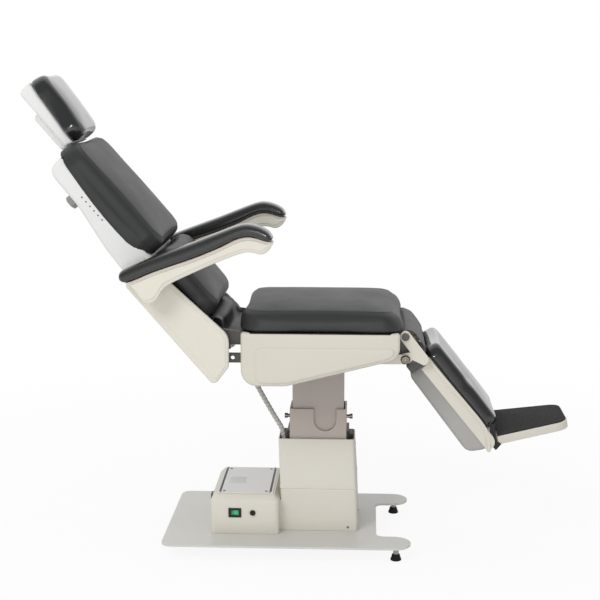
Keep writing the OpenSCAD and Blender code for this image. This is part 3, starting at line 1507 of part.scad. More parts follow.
// Grey casing behind the leg rest
module leg_casing() {
  x1 = leg_pan_x - leg_pan_deep - seam_gap;
  x0 = x1 - casing_deep;
  color(casing_grey) in_leg() difference() {
    slab(-casing_half, casing_half) casing_outline(x0, x1, 0);
    slab(-casing_half + skin_t, casing_half - skin_t) casing_outline(x0, x1 + over, skin_t);
    block(x0 + 3 * skin_t + casing_deep / 7, x1 + over, -casing_half + skin_t, casing_half - skin_t,
      -casing_low / 2, -casing_top + over);
    blocks(x1 - 2 * leg_bar, x1 + over, foot_ear_in - 2 * over, foot_ear_out + 2 * over, -casing_low - over,
      -casing_low + leg_bar / 2);
  }
}

module casing_outline(x0, x1, inset) {
  a = casing_deep / 7;
  polygon([[x1, -casing_top - inset], [x0 + 2 * a, -casing_top - inset], [x0 + a + inset,
    -casing_top - 1.4 * a],
    [x0 + inset, -casing_low + 3.6 * a], [x0 + a + inset, -casing_low + 2 * a], [x0 + 4.6 * a,
      -casing_low + inset],
    [x1, -casing_low + inset]]);
}

// Pan under the leg rest cushion, whose lower end curls to the rear
pan_shares = [[0, 1.0], [0, 0.075], [0.12, 0.042], [0.5, 0.014], [1, 0], [1.7, 0], [1.7, 0.011], [1.3,
  0.013],
  [1.0, 0.025], [1, 1.0]];
leg_pan_low = 420;
module leg_pan() {
  y_in = leg_bar_out - 2 * skin_t;
  color(cream) in_leg() difference() {
    slab(-leg_pan_half, leg_pan_half) polygon([for (s = pan_shares)
      [leg_pan_x - leg_pan_deep * s[0], -leg_pan_low + (leg_pan_low - casing_top) * s[1]]]);
    block(leg_pan_x - leg_pan_deep - over, leg_pan_x - skin_t, -y_in, y_in,
      -leg_pan_low + (leg_pan_low - casing_top) * 0.14, -casing_top - 2 * skin_t);
    blocks(leg_pan_x - 2.2 * leg_pan_deep, leg_pan_x + over, foot_ear_in - 5 * foot_skin,
      foot_ear_out + 2 * foot_skin, -leg_pan_low - over, -leg_pan_low + leg_pan_deep * 2);
  }
}

module leg_cushion() {
  color(vinyl_pale) in_leg()
    standing_cushion(leg_pan_x, -leg_low, -leg_top, leg_half_w, leg_wall, leg_crown, leg_edge,
      leg_corner_r);
}

// Bracket of the foot plate: two ears on the leg rest's bars
foot_ear_in = 100;
foot_ear_out = 110;
foot_top = 16;
foot_low_face = foot_top - foot_deep;
module foot_bracket() {
  stop_r = 4;
  color(black) difference() {
    union() {
      in_leg() slabs(foot_ear_in, foot_ear_out) rounded([[foot_hinge_x, -foot_hinge_low,
        1.8 * foot_pin_r], [leg_bar_x + leg_bar * 1.4, 2 * foot_pin_r - casing_low + leg_bar, foot_pin_r]]);
      in_leg() blocks(leg_bar_x + leg_bar + seam_gap, leg_bar_x + 1.6 * leg_bar, foot_ear_in + over,
        leg_bar_out - leg_bar / 2, -casing_low + leg_bar * 0.7, -casing_low + leg_bar * 1.3);
      in_foot() slabs(foot_ear_in + over, foot_ear_out - over) rounded([[0, -foot_pin_r, stop_r],
        [4.5 * foot_pin_r, foot_low_face - stop_r - seam_gap, stop_r],
        [0.4 * foot_pin_r, -6 * foot_pin_r, stop_r]]);
    }
    in_foot() bars_y(foot_pin_r + run_gap, foot_ear_in - over, foot_ear_out + over);
  }
}

// Plan view of the foot plate, inset on its sides and front
module foot_outline(inset, rear) {
  r = foot_corner_r - inset;
  hull() {
    for (s = [-1, 1]) {
      translate([foot_l - r - inset, s * (foot_half_front - r - inset)]) circle(r = r, $fn = 32);
      translate([rear, s * (foot_half_rear - inset) - (s > 0 ? over : 0)]) square([over, over]);
    }
  }
}

foot_rear = 9;
foot_skin = 3;
module foot_plate() {
  color(cream) in_foot() difference() {
    union() {
      difference() {
        translate([0, 0, foot_low_face]) linear_extrude(foot_deep) foot_outline(0, foot_rear);
        translate([0, 0, foot_low_face - over]) linear_extrude(foot_deep - foot_skin + over)
          foot_outline(foot_skin, foot_rear - 2 * over);
      }
      slabs(foot_ear_in - foot_skin * 4, foot_ear_in - foot_skin) rounded([[0, 0, 1.8 * foot_pin_r],
        [4 * foot_pin_r, foot_top - foot_skin - 0.9 * foot_pin_r, foot_pin_r]]);
      bars_y(foot_pin_r, foot_ear_in - foot_skin - over, foot_ear_out + foot_skin);
    }
  }
}

module foot_mat() {
  color(black) in_foot() translate([0, 0, foot_top]) linear_extrude(mat_t) foot_outline(foot_skin,
    foot_rear + foot_skin);
}

base_plate();
foot_pads();
foot_studs();
outer_column();
guide_pads();
guide_bolts();
column_cover();
cover_screws();
power_box();
box_lid();
switch_bezel();
switch_rocker();
fuse_holder();
fuse_cap();
power_inlet();
power_supply();
lift_actuator();
hose_clip();
lift_rod();
inner_column();
seat_frame();
hinge_pins();
seat_board();
seat_cushion();
seat_cover_right();
seat_cover_left();
recline_actuator();
recline_rod();
link_bars();
link_pins();
front_flap();
rear_flap();
cable_hose();
hose_gland();
back_frame();
back_boards();
back_cushion();
lumbar_cushion();
upper_back_shell();
back_cover_right();
back_cover_left();
rear_cover();
key_strip();
arm_spigots();
arm_body_right();
arm_pad_right();
arm_body_left();
arm_pad_left();
head_slide();
head_bracket_cover();
head_shell();
head_cushion();
lock_knob();
leg_frame();
leg_casing();
leg_pan();
leg_cushion();
foot_bracket();
foot_plate();
foot_mat();
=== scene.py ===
"""Looks of a reclining eye examination chair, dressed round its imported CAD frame."""

import math

import bmesh
import bpy
import numpy as np
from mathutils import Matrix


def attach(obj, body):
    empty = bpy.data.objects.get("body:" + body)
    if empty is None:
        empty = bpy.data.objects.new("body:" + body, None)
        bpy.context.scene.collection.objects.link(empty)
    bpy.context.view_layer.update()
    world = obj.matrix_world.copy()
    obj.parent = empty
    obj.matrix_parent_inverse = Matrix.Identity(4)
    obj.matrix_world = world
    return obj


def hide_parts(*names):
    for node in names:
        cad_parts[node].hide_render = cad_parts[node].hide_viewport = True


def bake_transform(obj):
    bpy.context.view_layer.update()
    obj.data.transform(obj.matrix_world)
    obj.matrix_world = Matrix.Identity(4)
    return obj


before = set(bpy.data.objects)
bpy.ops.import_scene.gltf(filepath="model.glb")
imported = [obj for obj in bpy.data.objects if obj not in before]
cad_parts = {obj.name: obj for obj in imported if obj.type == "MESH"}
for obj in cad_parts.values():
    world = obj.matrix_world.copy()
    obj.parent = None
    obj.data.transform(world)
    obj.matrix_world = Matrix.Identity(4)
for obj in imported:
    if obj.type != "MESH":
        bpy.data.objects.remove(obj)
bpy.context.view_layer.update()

# Lengths are millimetres in the chair's own frame; a mesh is made in metres.
MM = 0.001
SCENE = bpy.context.scene

# Sizes shared with the CAD frame
COLUMN_X = 60.0
HINGE_Z = 661.0
BOARD_TOP = 676.0
SEAM = 0.3


# Side views

class Side:
    """A leaning side view. World = origin + x along (cos a, -sin a) + z along (sin a, cos a)."""

    def __init__(self, x0, z0, lean):
        self.x0, self.z0, self.lean = x0, z0, lean
        self.c, self.s = math.cos(math.radians(lean)), math.sin(math.radians(lean))

    def world(self, x, y, z):
        """Points of the chair for x and z of this side view and the chair's own y."""
        x, y, z = np.broadcast_arrays(np.asarray(x, float), np.asarray(y, float), np.asarray(z, float))
        return np.stack([self.x0 + x * self.c + z * self.s, y, self.z0 - x * self.s + z * self.c], -1)

    def inner(self, x, z, lean):
        """A side view carried by this one, at x and z, leaning by a further angle."""
        o = self.world(x, 0, z)
        return Side(o[0], o[2], self.lean + lean)


COLUMN = Side(COLUMN_X, 0, 0)
BACK = Side(COLUMN_X - 272, HINGE_Z, -41)
LEG = Side(COLUMN_X + 254, HINGE_Z, -39)
HEAD = BACK.inner(27, 694, 6)
ARM = BACK.inner(-53, 241, 20.5)
FOOT = LEG.inner(4, -416, 29)


# Curves

def resample(points, count, closed=True):
    """Points at equal steps of arc length along a line through the given points."""
    p = np.asarray(points, float)
    if closed:
        p = np.vstack([p, p[:1]])
    run = np.concatenate([[0], np.cumsum(np.linalg.norm(np.diff(p, axis=0), axis=1))])
    at = np.linspace(0, run[-1], count + 1)[:-1] if closed else np.linspace(0, run[-1], count)
    return np.stack([np.interp(at, run, p[:, k]) for k in range(p.shape[1])], -1)


def spline(points, count):
    """Catmull-Rom curve: between two points, half of 2 p1 + (p2 - p0) f + (2 p0 - 5 p1 + 4 p2 - p3) f^2
    + (3 p1 - p0 - 3 p2 + p3) f^3, at equal steps of the points' numbering."""
    p = np.asarray(points, float)
    n = len(p) - 1
    u = np.linspace(0, n, count)
    i = np.minimum(u.astype(int), n - 1)
    f = (u - i)[:, None]
    p0, p1, p2, p3 = p[np.maximum(i - 1, 0)], p[i], p[i + 1], p[np.minimum(i + 2, n)]
    return 0.5 * (2 * p1 + (p2 - p0) * f + (2 * p0 - 5 * p1 + 4 * p2 - p3) * f ** 2
                  + (3 * p1 - p0 - 3 * p2 + p3) * f ** 3)


def band_round(circles, count):
    """Outline of a band round circles (x, z, radius): at each heading u, the circle with the largest
    centre . u + radius gives the point centre + radius u."""
    c = np.asarray(circles, float)
    a = np.linspace(0, 2 * math.pi, 1440, endpoint=False)
    u = np.stack([np.cos(a), np.sin(a)], -1)
    k = np.argmax(u @ c[:, :2].T + c[:, 2], axis=1)
    return resample(c[k, :2] + c[k, 2:3] * u, count)


def soften(outline, passes):
    """Rounds an outline's corners: each pass sets a point to half itself plus a quarter of each neighbour."""
    for _ in range(passes):
        outline = (np.roll(outline, 1, 0) + 2 * outline + np.roll(outline, -1, 0)) / 4
    return outline


def counter_clockwise(outline):
    """The outline in counter-clockwise order, by the sign of its area."""
    x, z = outline[:, 0], outline[:, 1]
    area = (x * np.roll(z, -1) - np.roll(x, -1) * z).sum()
    return outline if area > 0 else outline[::-1]


def rounded(line, count, passes):
    """A closed line through corners as a counter-clockwise outline, softened by a number of passes."""
    return soften(counter_clockwise(resample(line, count)), passes)


def inset(outline, d):
    """An outline moved in by d: point minus d times the outward normal of its neighbours' chord. A point
    that comes nearer to the outline than d is put on the line between the good points beside it."""
    t = np.roll(outline, -1, 0) - np.roll(outline, 1, 0)
    n = np.stack([t[:, 1], -t[:, 0]], -1)
    moved = outline - n / np.maximum(np.linalg.norm(n, axis=1, keepdims=True), 1e-9) * d
    if d < 1:
        return moved
    gap = np.linalg.norm(moved[:, None] - outline[None], axis=2).min(1)
    good = np.nonzero(gap > 0.97 * d)[0]
    at = np.arange(len(outline))
    return np.stack([np.interp(at, good, moved[good, k], period=len(outline)) for k in (0, 1)], -1)


def rect_ring(x0, x1, y0, y1, r, bow=0.0, corner=8, side=14):
    """Rounded rectangle: four quarter arcs joined by sides, which pull in by bow times sin(pi t)."""
    a = np.radians(np.linspace(0, 90, corner + 1))
    t = np.linspace(0, 1, side + 1)[1:-1][:, None]
    centres = [(x1 - r, y1 - r), (x0 + r, y1 - r), (x0 + r, y0 + r), (x1 - r, y0 + r)]
    arcs = [np.stack([cx + r * np.cos(a + q * math.pi / 2), cy + r * np.sin(a + q * math.pi / 2)], -1)
            for q, (cx, cy) in enumerate(centres)]
    parts = []
    for q, arc in enumerate(arcs):
        turn = (q + 1) * math.pi / 2
        out = np.array([math.cos(turn), math.sin(turn)])
        straight = arc[-1] + (arcs[(q + 1) % 4][0] - arc[-1]) * t
        parts += [arc, straight - out * bow * np.sin(math.pi * t)]
    return np.concatenate(parts)


def edge_round(r, steps=6):
    """Quarter round from a face to a side: (inset, depth) = r (1 - sin t, 1 - cos t)."""
    t = np.radians(np.linspace(0, 90, steps + 1))
    return np.stack([r * (1 - np.sin(t)), r * (1 - np.cos(t))], -1)


# Meshes

def loft(rings, around=False):
    """Skin over a stack of rings: quads between neighbours, and one face over each end. With around,
    the last ring joins the first instead, as in a hoop."""
    rings = np.asarray(rings, float)
    k, n, _ = rings.shape
    i, j = np.arange(k if around else k - 1)[:, None], np.arange(n)[None, :]
    up, nxt = (i + 1) % k, (j + 1) % n
    faces = np.stack([i * n + j, i * n + nxt, up * n + nxt, up * n + j], -1).reshape(-1, 4).tolist()
    if not around:
        faces += [list(range(n))[::-1], list(range((k - 1) * n, k * n))]
    return rings.reshape(-1, 3), faces


def joined(parts):
    """Several (points, faces) as one."""
    points, faces, base = [], [], 0
    for p, f in parts:
        points.append(p)
        faces += [[v + base for v in face] for face in f]
        base += len(p)
    return np.concatenate(points), faces


def mirrored(part):
    """The same on the other side of the chair: y becomes -y and each face is turned back."""
    p, f = part
    return p * [1, -1, 1], [face[::-1] for face in f]


def both_sides(part):
    """A part and its mirror image as one."""
    return joined([part, mirrored(part)])


HANDS = (("left", lambda part: part), ("right", mirrored))


def piece(name, part, finish, body=None, smooth=40.0, replaces=()):
    """Makes a mesh object from (points in mm, faces), with its faces turned outwards."""
    points, faces = part
    mesh = bpy.data.meshes.new(name)
    mesh.from_pydata((np.asarray(points) * MM).tolist(), [], faces)
    bm = bmesh.new()
    bm.from_mesh(mesh)
    bmesh.ops.recalc_face_normals(bm, faces=bm.faces)
    if bm.calc_volume(signed=True) < 0:
        bmesh.ops.reverse_faces(bm, faces=bm.faces)
    bm.to_mesh(mesh)
    bm.free()
    mesh.shade_smooth()
    mesh.set_sharp_from_angle(angle=math.radians(smooth))
    mesh.materials.append(finish)
    obj = bpy.data.objects.new(name, mesh)
    SCENE.collection.objects.link(obj)
    if body:
        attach(obj, body)
    if replaces:
        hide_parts(*replaces)
    return obj


def tray(side, outline, y_face, y_rim, edge, wall, dome=0.0):
    """A moulded cover seen from the side. From the middle out: a face domed by dome (1 - s^2), a rounded
    edge, a side wall to the rim, and the same walls again one wall thickness inside."""
    out = 1 if y_face > y_rim else -1
    centre = outline.mean(0)
    flat = inset(outline, edge)
    levels = [(centre + (flat - centre) * s, y_face + out * dome * (1 - s * s))
              for s in (0.02, 0.3, 0.6, 0.85)]
    levels += [(inset(outline, i), y_face - out * d) for i, d in edge_round(edge)]
    levels += [(outline, y_rim), (inset(outline, wall), y_rim)]
    inner = inset(outline, edge)
    levels += [(inset(outline, wall), y_face - out * edge), (inner, y_face - out * wall)]
    levels += [(centre + (inner - centre) * s, y_face - out * wall) for s in (0.5, 0.02)]
    return loft([side.world(o[:, 0], y, o[:, 1]) for o, y in levels])


def bar_form(side, outline, y0, y1, edge):
    """A solid form across the chair: a flat near face, rounded edges, and the same on the far face."""
    near = [(inset(outline, i), y0 + d) for i, d in edge_round(edge)]
    far = [(o, y0 + y1 - y) for o, y in near[::-1]]
    return loft([side.world(o[:, 0], y, o[:, 1]) for o, y in near + far])


def plan_form(side, rings):
    """Rings in plan at heights, in a side view's frame: each is (outline in x and y, z)."""
    return loft([side.world(o[:, 0], o[:, 1], z) for o, z in rings])


def tube(path, radius, up, sides=12, closed=True):
    """A round bar along a path: path + r (cos a up + sin a (tangent x up)). The radius is one number,
    or one for each point of the path, or for each point and side."""
    p = np.asarray(path, float)
    t = np.roll(p, -1, 0) - np.roll(p, 1, 0) if closed else np.gradient(p, axis=0)
    t /= np.linalg.norm(t, axis=1, keepdims=True)
    n = np.asarray(up, float) - (t @ np.asarray(up, float))[:, None] * t
    n /= np.linalg.norm(n, axis=1, keepdims=True)
    b = np.cross(t, n)
    a = np.linspace(0, 2 * math.pi, sides, endpoint=False)[None, :, None]
    r = np.asarray(radius, float)
    r = np.broadcast_to(r[:, None] if r.ndim == 1 else r, (len(p), sides))[..., None]
    rings = p[:, None] + r * (np.cos(a) * n[:, None] + np.sin(a) * b[:, None])
    return loft(rings, around=closed)


def turned(profile, centre, axis, count=48, lobes=0, depth=0.0):
    """A turned form: (radius, height) carried round an axis, radius times 1 + depth cos(lobes a)."""
    axis = np.asarray(axis, float) / np.linalg.norm(axis)
    side_way = np.cross(axis, [0, 1, 0] if abs(axis[1]) < 0.9 else [1, 0, 0])
    side_way /= np.linalg.norm(side_way)
    third = np.cross(axis, side_way)
    a = np.linspace(0, 2 * math.pi, count, endpoint=False)[None, :, None]
    pr = np.asarray(profile, float)
    r = np.maximum(pr[:, 0], 0.05)[:, None, None] * (1 + depth * np.cos(lobes * a))
    rings = (np.asarray(centre, float) + pr[:, 1][:, None, None] * axis
             + r * (np.cos(a) * side_way + np.sin(a) * third))
    return loft(rings)


# Finishes

def linear(code):
    """The linear colour of a hex code: ((c + 0.055) / 1.055)^2.4, or c / 12.92 when dark."""
    c = np.array([int(code[k:k + 2], 16) / 255 for k in (1, 3, 5)])
    c = np.where(c <= 0.04045, c / 12.92, ((c + 0.055) / 1.055) ** 2.4)
    return (*c.tolist(), 1.0)


def scaled(color, share):
    """A linear colour times a share, no channel above 1."""
    return tuple(min(c * share, 1.0) for c in color[:3]) + (1.0,)


class Wire:
    """A socket of a node tree, with arithmetic: an expression on wires adds its Math nodes."""

    def __init__(self, web, socket):
        self.web, self.socket = web, socket

    def math(self, operation, *others):
        """A Math node of this wire and the others."""
        return self.web.node("ShaderNodeMath", {"operation": operation}, self, *others)

    def __add__(self, other):
        return self.math("ADD", other)

    def __mul__(self, other):
        return self.math("MULTIPLY", other)

    def __sub__(self, other):
        return self.math("SUBTRACT", other)

    def __rsub__(self, other):
        return self.web.node("ShaderNodeMath", {"operation": "SUBTRACT"}, other, self)

    def __truediv__(self, other):
        return self.math("DIVIDE", other)

    def within(self, low, high):
        """0 to 1 as the value goes from low to high."""
        return self.web.node("ShaderNodeMapRange", {}, self, From_Min=low, From_Max=high)

    __radd__, __rmul__ = __add__, __mul__


class Web:
    """A node tree of a material or of the surroundings."""

    def __init__(self, tree):
        self.tree = tree

    def node(self, kind, settings, *values, out=0, **named):
        """Adds a node: its settings first, then the values or wires of its sockets."""
        made = self.tree.nodes.new(kind)
        for key, value in settings.items():
            setattr(made, key, value)
        for key, value in [*enumerate(values), *((k.replace("_", " "), v) for k, v in named.items())]:
            if isinstance(value, Wire):
                self.tree.links.new(value.socket, made.inputs[key])
            elif value is not None:
                made.inputs[key].default_value = value
        return Wire(self, made.outputs[out])


class Paint(Web):
    """One material: a Principled shader whose even values sit on its own sockets."""

    def __init__(self, name, color, **even):
        self.material = bpy.data.materials.new(name)
        self.material.use_nodes = True
        super().__init__(self.material.node_tree)
        self.shader = self.tree.nodes["Principled BSDF"]
        self.shader.inputs["Base Color"].default_value = linear(color)
        self.color = linear(color)
        for key, value in even.items():
            self.shader.inputs[key.replace("_", " ")].default_value = value
        self.place = self.node("ShaderNodeTexCoord", {}, out="Object")

    def noise(self, scale, detail=3.0, rough=0.55, stretch=(1, 1, 1)):
        """Noise of the given repeats per metre, drawn out along an axis by stretch below 1."""
        at = self.node("ShaderNodeMapping", {}, self.place, Scale=stretch)
        return self.node("ShaderNodeTexNoise", {}, at, Scale=scale, Detail=detail, Roughness=rough)

    def cells(self, scale):
        """Distance to the nearest of scattered points, as in leather grain."""
        return self.node("ShaderNodeTexVoronoi", {"feature": "F1"}, self.place, Scale=scale)

    def mix(self, share, first, second):
        """Colour between two, by a share."""
        return self.node("ShaderNodeMix", {"data_type": "RGBA"}, share, None, None, None, None, None,
                         first, second, out=2)

    def along(self, side):
        """The x and z of a side view, in mm, of the place on the surface."""
        x, z = (self.node("ShaderNodeSeparateXYZ", {}, self.place, out=k) for k in (0, 2))
        x, z = x * 1000.0 - side.x0, z * 1000.0 - side.z0
        return x * side.c - z * side.s, x * side.s + z * side.c

    def shade(self, share, dark, light):
        """The base colour times dark to light, as the share goes from 0 to 1."""
        self.set("Base Color", self.mix(share, scaled(self.color, dark), scaled(self.color, light)))

    def set(self, socket, wire):
        """Links a wire to a socket of the shader."""
        self.tree.links.new(wire.socket, self.shader.inputs[socket])

    def relief(self, height, distance, strength=1.0, bevel=0.0):
        """Surface relief of a height times distance in metres, over edges rounded by bevel."""
        edge = self.node("ShaderNodeBevel", {"samples": 6}, bevel) if bevel else None
        self.set("Normal", self.node("ShaderNodeBump", {}, Strength=strength, Distance=distance,
                                     Height=height, Normal=edge))


def moulded(name, color, rough=0.42, bevel=0.0, grain=0.00006, length=None, **even):
    """Moulded plastic: faint cloudy colour, a fine leather-like mould grain and roughness that drifts. With
    length, the tone rises from the upper end of that side view to z = -300: painted shade under the seat."""
    p = Paint(name, color, Roughness=rough, Specular_IOR_Level=0.45, **even)
    cloud = p.noise(7.0, 3.0)
    if length:
        # Painted shade: darker at the side view's upper end, under the seat, lighter toward z = -300.
        p.shade(cloud * 0.12 + p.along(length)[1].within(-110, -300) * 0.88, 0.66, 1.12)
    else:
        p.shade(cloud, 0.965, 1.03)
    p.set("Roughness", cloud * 0.10 + p.noise(60.0, 2.0) * 0.06 + (rough - 0.08))
    p.relief(p.cells(900.0) * 0.6 + p.noise(2400.0, 2.0) * 0.5, grain, 0.5, bevel)
    return p.material


def lacquered(name, color, rough=0.34, bevel=0.0012, other=None, where=None):
    """Powder coated steel: orange peel, edges rounded by the coat, and a drifting tone. Where the given
    function of the paint is 1, the steel has the other colour."""
    p = Paint(name, color, Roughness=rough)
    peel = p.noise(420.0, 2.0, 0.4)
    tone = p.noise(5.0, 4.0)
    p.shade(tone, 0.95, 1.04)
    if where:
        first = p.mix(tone, scaled(p.color, 0.95), p.color)
        second = p.mix(tone, scaled(linear(other), 0.85), scaled(linear(other), 1.1))
        p.set("Base Color", p.mix(where(p), first, second))
    p.set("Roughness", peel * 0.12 + (rough - 0.06))
    p.relief(peel, 0.00012, 0.35, bevel)
    return p.material


def vinyl(name, color, rough, coat=0.0, level=0.4, wrinkle=0.0007, stretch=(1.0, 1.0, 1.0), drift=0.16):
    """Upholstery vinyl: pebbled grain, faint creases, and a sheen that drifts with handling."""
    p = Paint(name, color, Roughness=rough, Specular_IOR_Level=level, Coat_Weight=coat, Coat_Roughness=0.10)
    pebble = p.cells(620.0)
    fine = p.noise(1500.0, 3.0)
    crease = p.noise(16.0, 5.0, 0.6, stretch)
    p.shade(p.noise(9.0, 4.0) * 0.6 + pebble * 0.5, 0.86, 1.16)
    p.set("Roughness", p.noise(12.0, 3.0) * drift + pebble * drift * 0.5 + (rough - drift * 0.65))
    fold = p.node("ShaderNodeBump", {}, Strength=0.5, Distance=wrinkle, Height=crease)
    grain = pebble + fine * 0.5
    p.set("Normal", p.node("ShaderNodeBump", {}, Strength=0.5, Distance=0.0001, Height=grain, Normal=fold))
    return p.material


def bare_metal(name, color, rough, bevel=0.0004):
    """Plated or polished steel: fine turning marks and a faint haze."""
    p = Paint(name, color, Roughness=rough, Metallic=1.0)
    marks = p.noise(900.0, 2.0, 0.5, (1, 0.05, 1))
    p.shade(p.noise(40.0, 3.0), 0.9, 1.05)
    p.set("Roughness", marks * 0.1 + p.noise(30.0, 3.0) * 0.1 + (rough - 0.1))
    p.relief(marks, 0.00003, 0.4, bevel)
    return p.material


def rubber(name, color, rough=0.62, bevel=0.0006):
    """Moulded rubber: matt, dusty in places, with fine pits."""
    p = Paint(name, color, Roughness=rough, Specular_IOR_Level=0.35)
    dust = p.noise(45.0, 5.0, 0.65)
    p.shade(dust, 0.8, 1.5)
    p.set("Roughness", dust * 0.2 + (rough - 0.1))
    p.relief(p.noise(1800.0, 3.0), 0.00012, 0.5, bevel)
    return p.material


def ribbed_mat(name, color):
    """Rubber mat: rows of low pyramids 5 mm apart, from the smaller of two triangle waves."""
    p = Paint(name, color, Roughness=0.75, Specular_IOR_Level=0.2)
    x, y, _ = (p.node("ShaderNodeSeparateXYZ", {}, p.place, out=k) for k in range(3))
    pitch = 0.005
    wave_x = (x * 0.985 / pitch).math("PINGPONG", 0.5)
    wave_y = (y / pitch).math("PINGPONG", 0.5)
    stud = wave_x.math("MINIMUM", wave_y) * 2
    # Base colour darker between the pyramids and lighter on their tops: painted shade and highlight, over a
    # random noise tone.
    p.shade(stud * 0.6 + p.noise(180.0, 4.0) * 0.5, 0.45, 1.5)
    p.set("Roughness", 0.82 - stud * 0.14)
    p.relief(stud, 0.0009, 0.8)
    return p.material


def ply(name, color):
    """Birch plywood: drawn out growth rings under a dull lacquer."""
    p = Paint(name, color, Roughness=0.6)
    ring = p.noise(40.0, 6.0, 0.6, (0.15, 1.0, 1.0))
    p.shade(ring, 0.75, 1.2)
    p.relief(ring, 0.0002, 0.4, 0.0004)
    return p.material


# Middle of the mains rocker's face, in metres
LAMP_SPOT = (-0.180, -0.151, 0.115)


def lit_plastic(name, color, glow):
    """Lit rocker: green plastic whose glow rises from 13 mm to 3 mm from the middle of its face."""
    p = Paint(name, color, Roughness=0.22, Coat_Weight=0.4)
    away = p.node("ShaderNodeVectorMath", {"operation": "DISTANCE"}, p.place, LAMP_SPOT, out="Value")
    p.set("Emission Color", p.mix(away.within(0.013, 0.003), linear("#083a22"), linear("#48ee93")))
    p.shader.inputs["Emission Strength"].default_value = glow
    p.relief(p.noise(700.0, 2.0), 0.00005, 0.3, 0.0006)
    return p.material


def below_leg_plate(p):
    """1 on the square bars between the cream hinge plates and the casing: x + 0.46 (z + 65) < -26 and
    z < -66 in the leg's side view."""
    x, z = p.along(LEG)
    return (x + z * 0.46).math("LESS_THAN", -55.9) * z.math("LESS_THAN", -66.0)


def in_base_plate(p):
    """1 where the levelling studs stand in the base plate, whose coat covers their ends."""
    return p.along(COLUMN)[1].math("GREATER_THAN", 44.0)


def at_leg_end(p):
    """1 on the front end of the long link bars, which is cream."""
    return p.along(COLUMN)[0].math("GREATER_THAN", 175.0)


CREAM = moulded("cream_moulding", "#dcd8cc")
# The seat covers are the same cream plastic as cream_moulding, a shade darker: painted shade.
CREAM_COVER_SHADED = moulded("cream_seat_cover_painted_shade", "#d4cfc3")
CREAM_BOX = moulded("cream_cabinet", "#dbd7cc", bevel=0.0)
WHITE = moulded("white_moulding", "#e0e0df", 0.38)
WHITE_TRAY = moulded("white_tray_moulding", "#e0e0df", 0.52, grain=0.00001)
HOSE_WRAP = moulded("hose_wrap", "#bfbcb7", 0.45)
# The leg casing is darker toward its upper end, under the seat: painted shade.
GREY_SHELL = moulded("grey_moulding", "#a3a29f", 0.40, length=LEG)
GREY_KNOB = moulded("grey_knob", "#8d8b88", 0.36)
PLATE = lacquered("pale_plate_coat", "#d4d3ce", 0.36)
LID = lacquered("lid_coat", "#e4e3e2", 0.36)
COLUMN_COAT = lacquered("warm_grey_coat", "#b5aba3", 0.34)
CREAM_STEEL = lacquered("cream_steel_coat", "#dad5c9", 0.36)
LEG_STEEL = lacquered("leg_frame_coat", "#dad5c9", 0.36, other="#4b4945", where=below_leg_plate)
LINK_STEEL = lacquered("link_bar_coat", "#55534f", 0.38, other="#dad5c9", where=at_leg_end)
STUD = lacquered("stud_plating", "#a9a9a8", 0.3, bevel=0.0004, other="#d0cfcb", where=in_base_plate)
DARK_STEEL = lacquered("dark_steel_coat", "#55534f", 0.38)
CHROME = bare_metal("chrome_plate", "#c9c9cb", 0.16)
ZINC = bare_metal("zinc_screw", "#8d8c86", 0.34)
NUT = bare_metal("nut_plate", "#a09b8a", 0.34)
ACTUATOR = bare_metal("cast_body", "#7c7c7b", 0.42)
BLACK = moulded("black_moulding", "#18181a", 0.4, bevel=0.0005)
GREEN = lit_plastic("green_rocker", "#0b5e38", 0.42)
PAD_RUBBER = rubber("foot_rubber", "#161616")
MAT = ribbed_mat("mat_rubber", "#333334")
VINYL = vinyl("dark_vinyl", "#2f3030", 0.45, level=0.48, stretch=(0.35, 1.0, 1.0))
VINYL_GLOSS = vinyl("dark_vinyl_polished", "#1e1f20", 0.16, coat=0.9, level=0.5, wrinkle=0.0003, drift=0.05)
SKIN_FOAM = vinyl("arm_pad_skin", "#262727", 0.24, coat=0.5, level=0.5, wrinkle=0.0002, drift=0.08)
PLY = ply("stained_ply", "#1f1c19")
BAND = moulded("rose_grey_moulding", "#cfc5bd")
LABEL = moulded("blank_label", "#d8dadb", 0.5)


# Camera, floor and light

def aim_camera():
    """Camera where the photograph was taken: 4 m to the chair's right, 10 degrees down."""
    data = bpy.data.cameras.new("camera")
    data.lens, data.sensor_width = 81.0, 36.0
    data.clip_start, data.clip_end = 0.1, 60.0
    camera = bpy.data.objects.new("camera", data)
    camera.location = (0.2004, -3.975, 1.430)
    camera.rotation_euler = (math.radians(90 - 9.96), 0, math.radians(2.84))
    SCENE.collection.objects.link(camera)
    SCENE.camera = camera


def lamp(name, place, target, size, power, gloss=True):
    """A square soft light of the given size and power, aimed at a point; gloss mirrors it."""
    data = bpy.data.lights.new(name, "AREA")
    data.shape, data.size, data.energy = "SQUARE", size, power
    obj = bpy.data.objects.new(name, data)
    obj.location = place
    obj.visible_glossy = gloss
    way = np.asarray(target, float) - np.asarray(place, float)
    flat = math.hypot(way[0], way[1])
    obj.rotation_euler = (math.atan2(flat, -way[2]), 0, math.atan2(way[1], way[0]) - math.pi / 2)
    SCENE.collection.objects.link(obj)


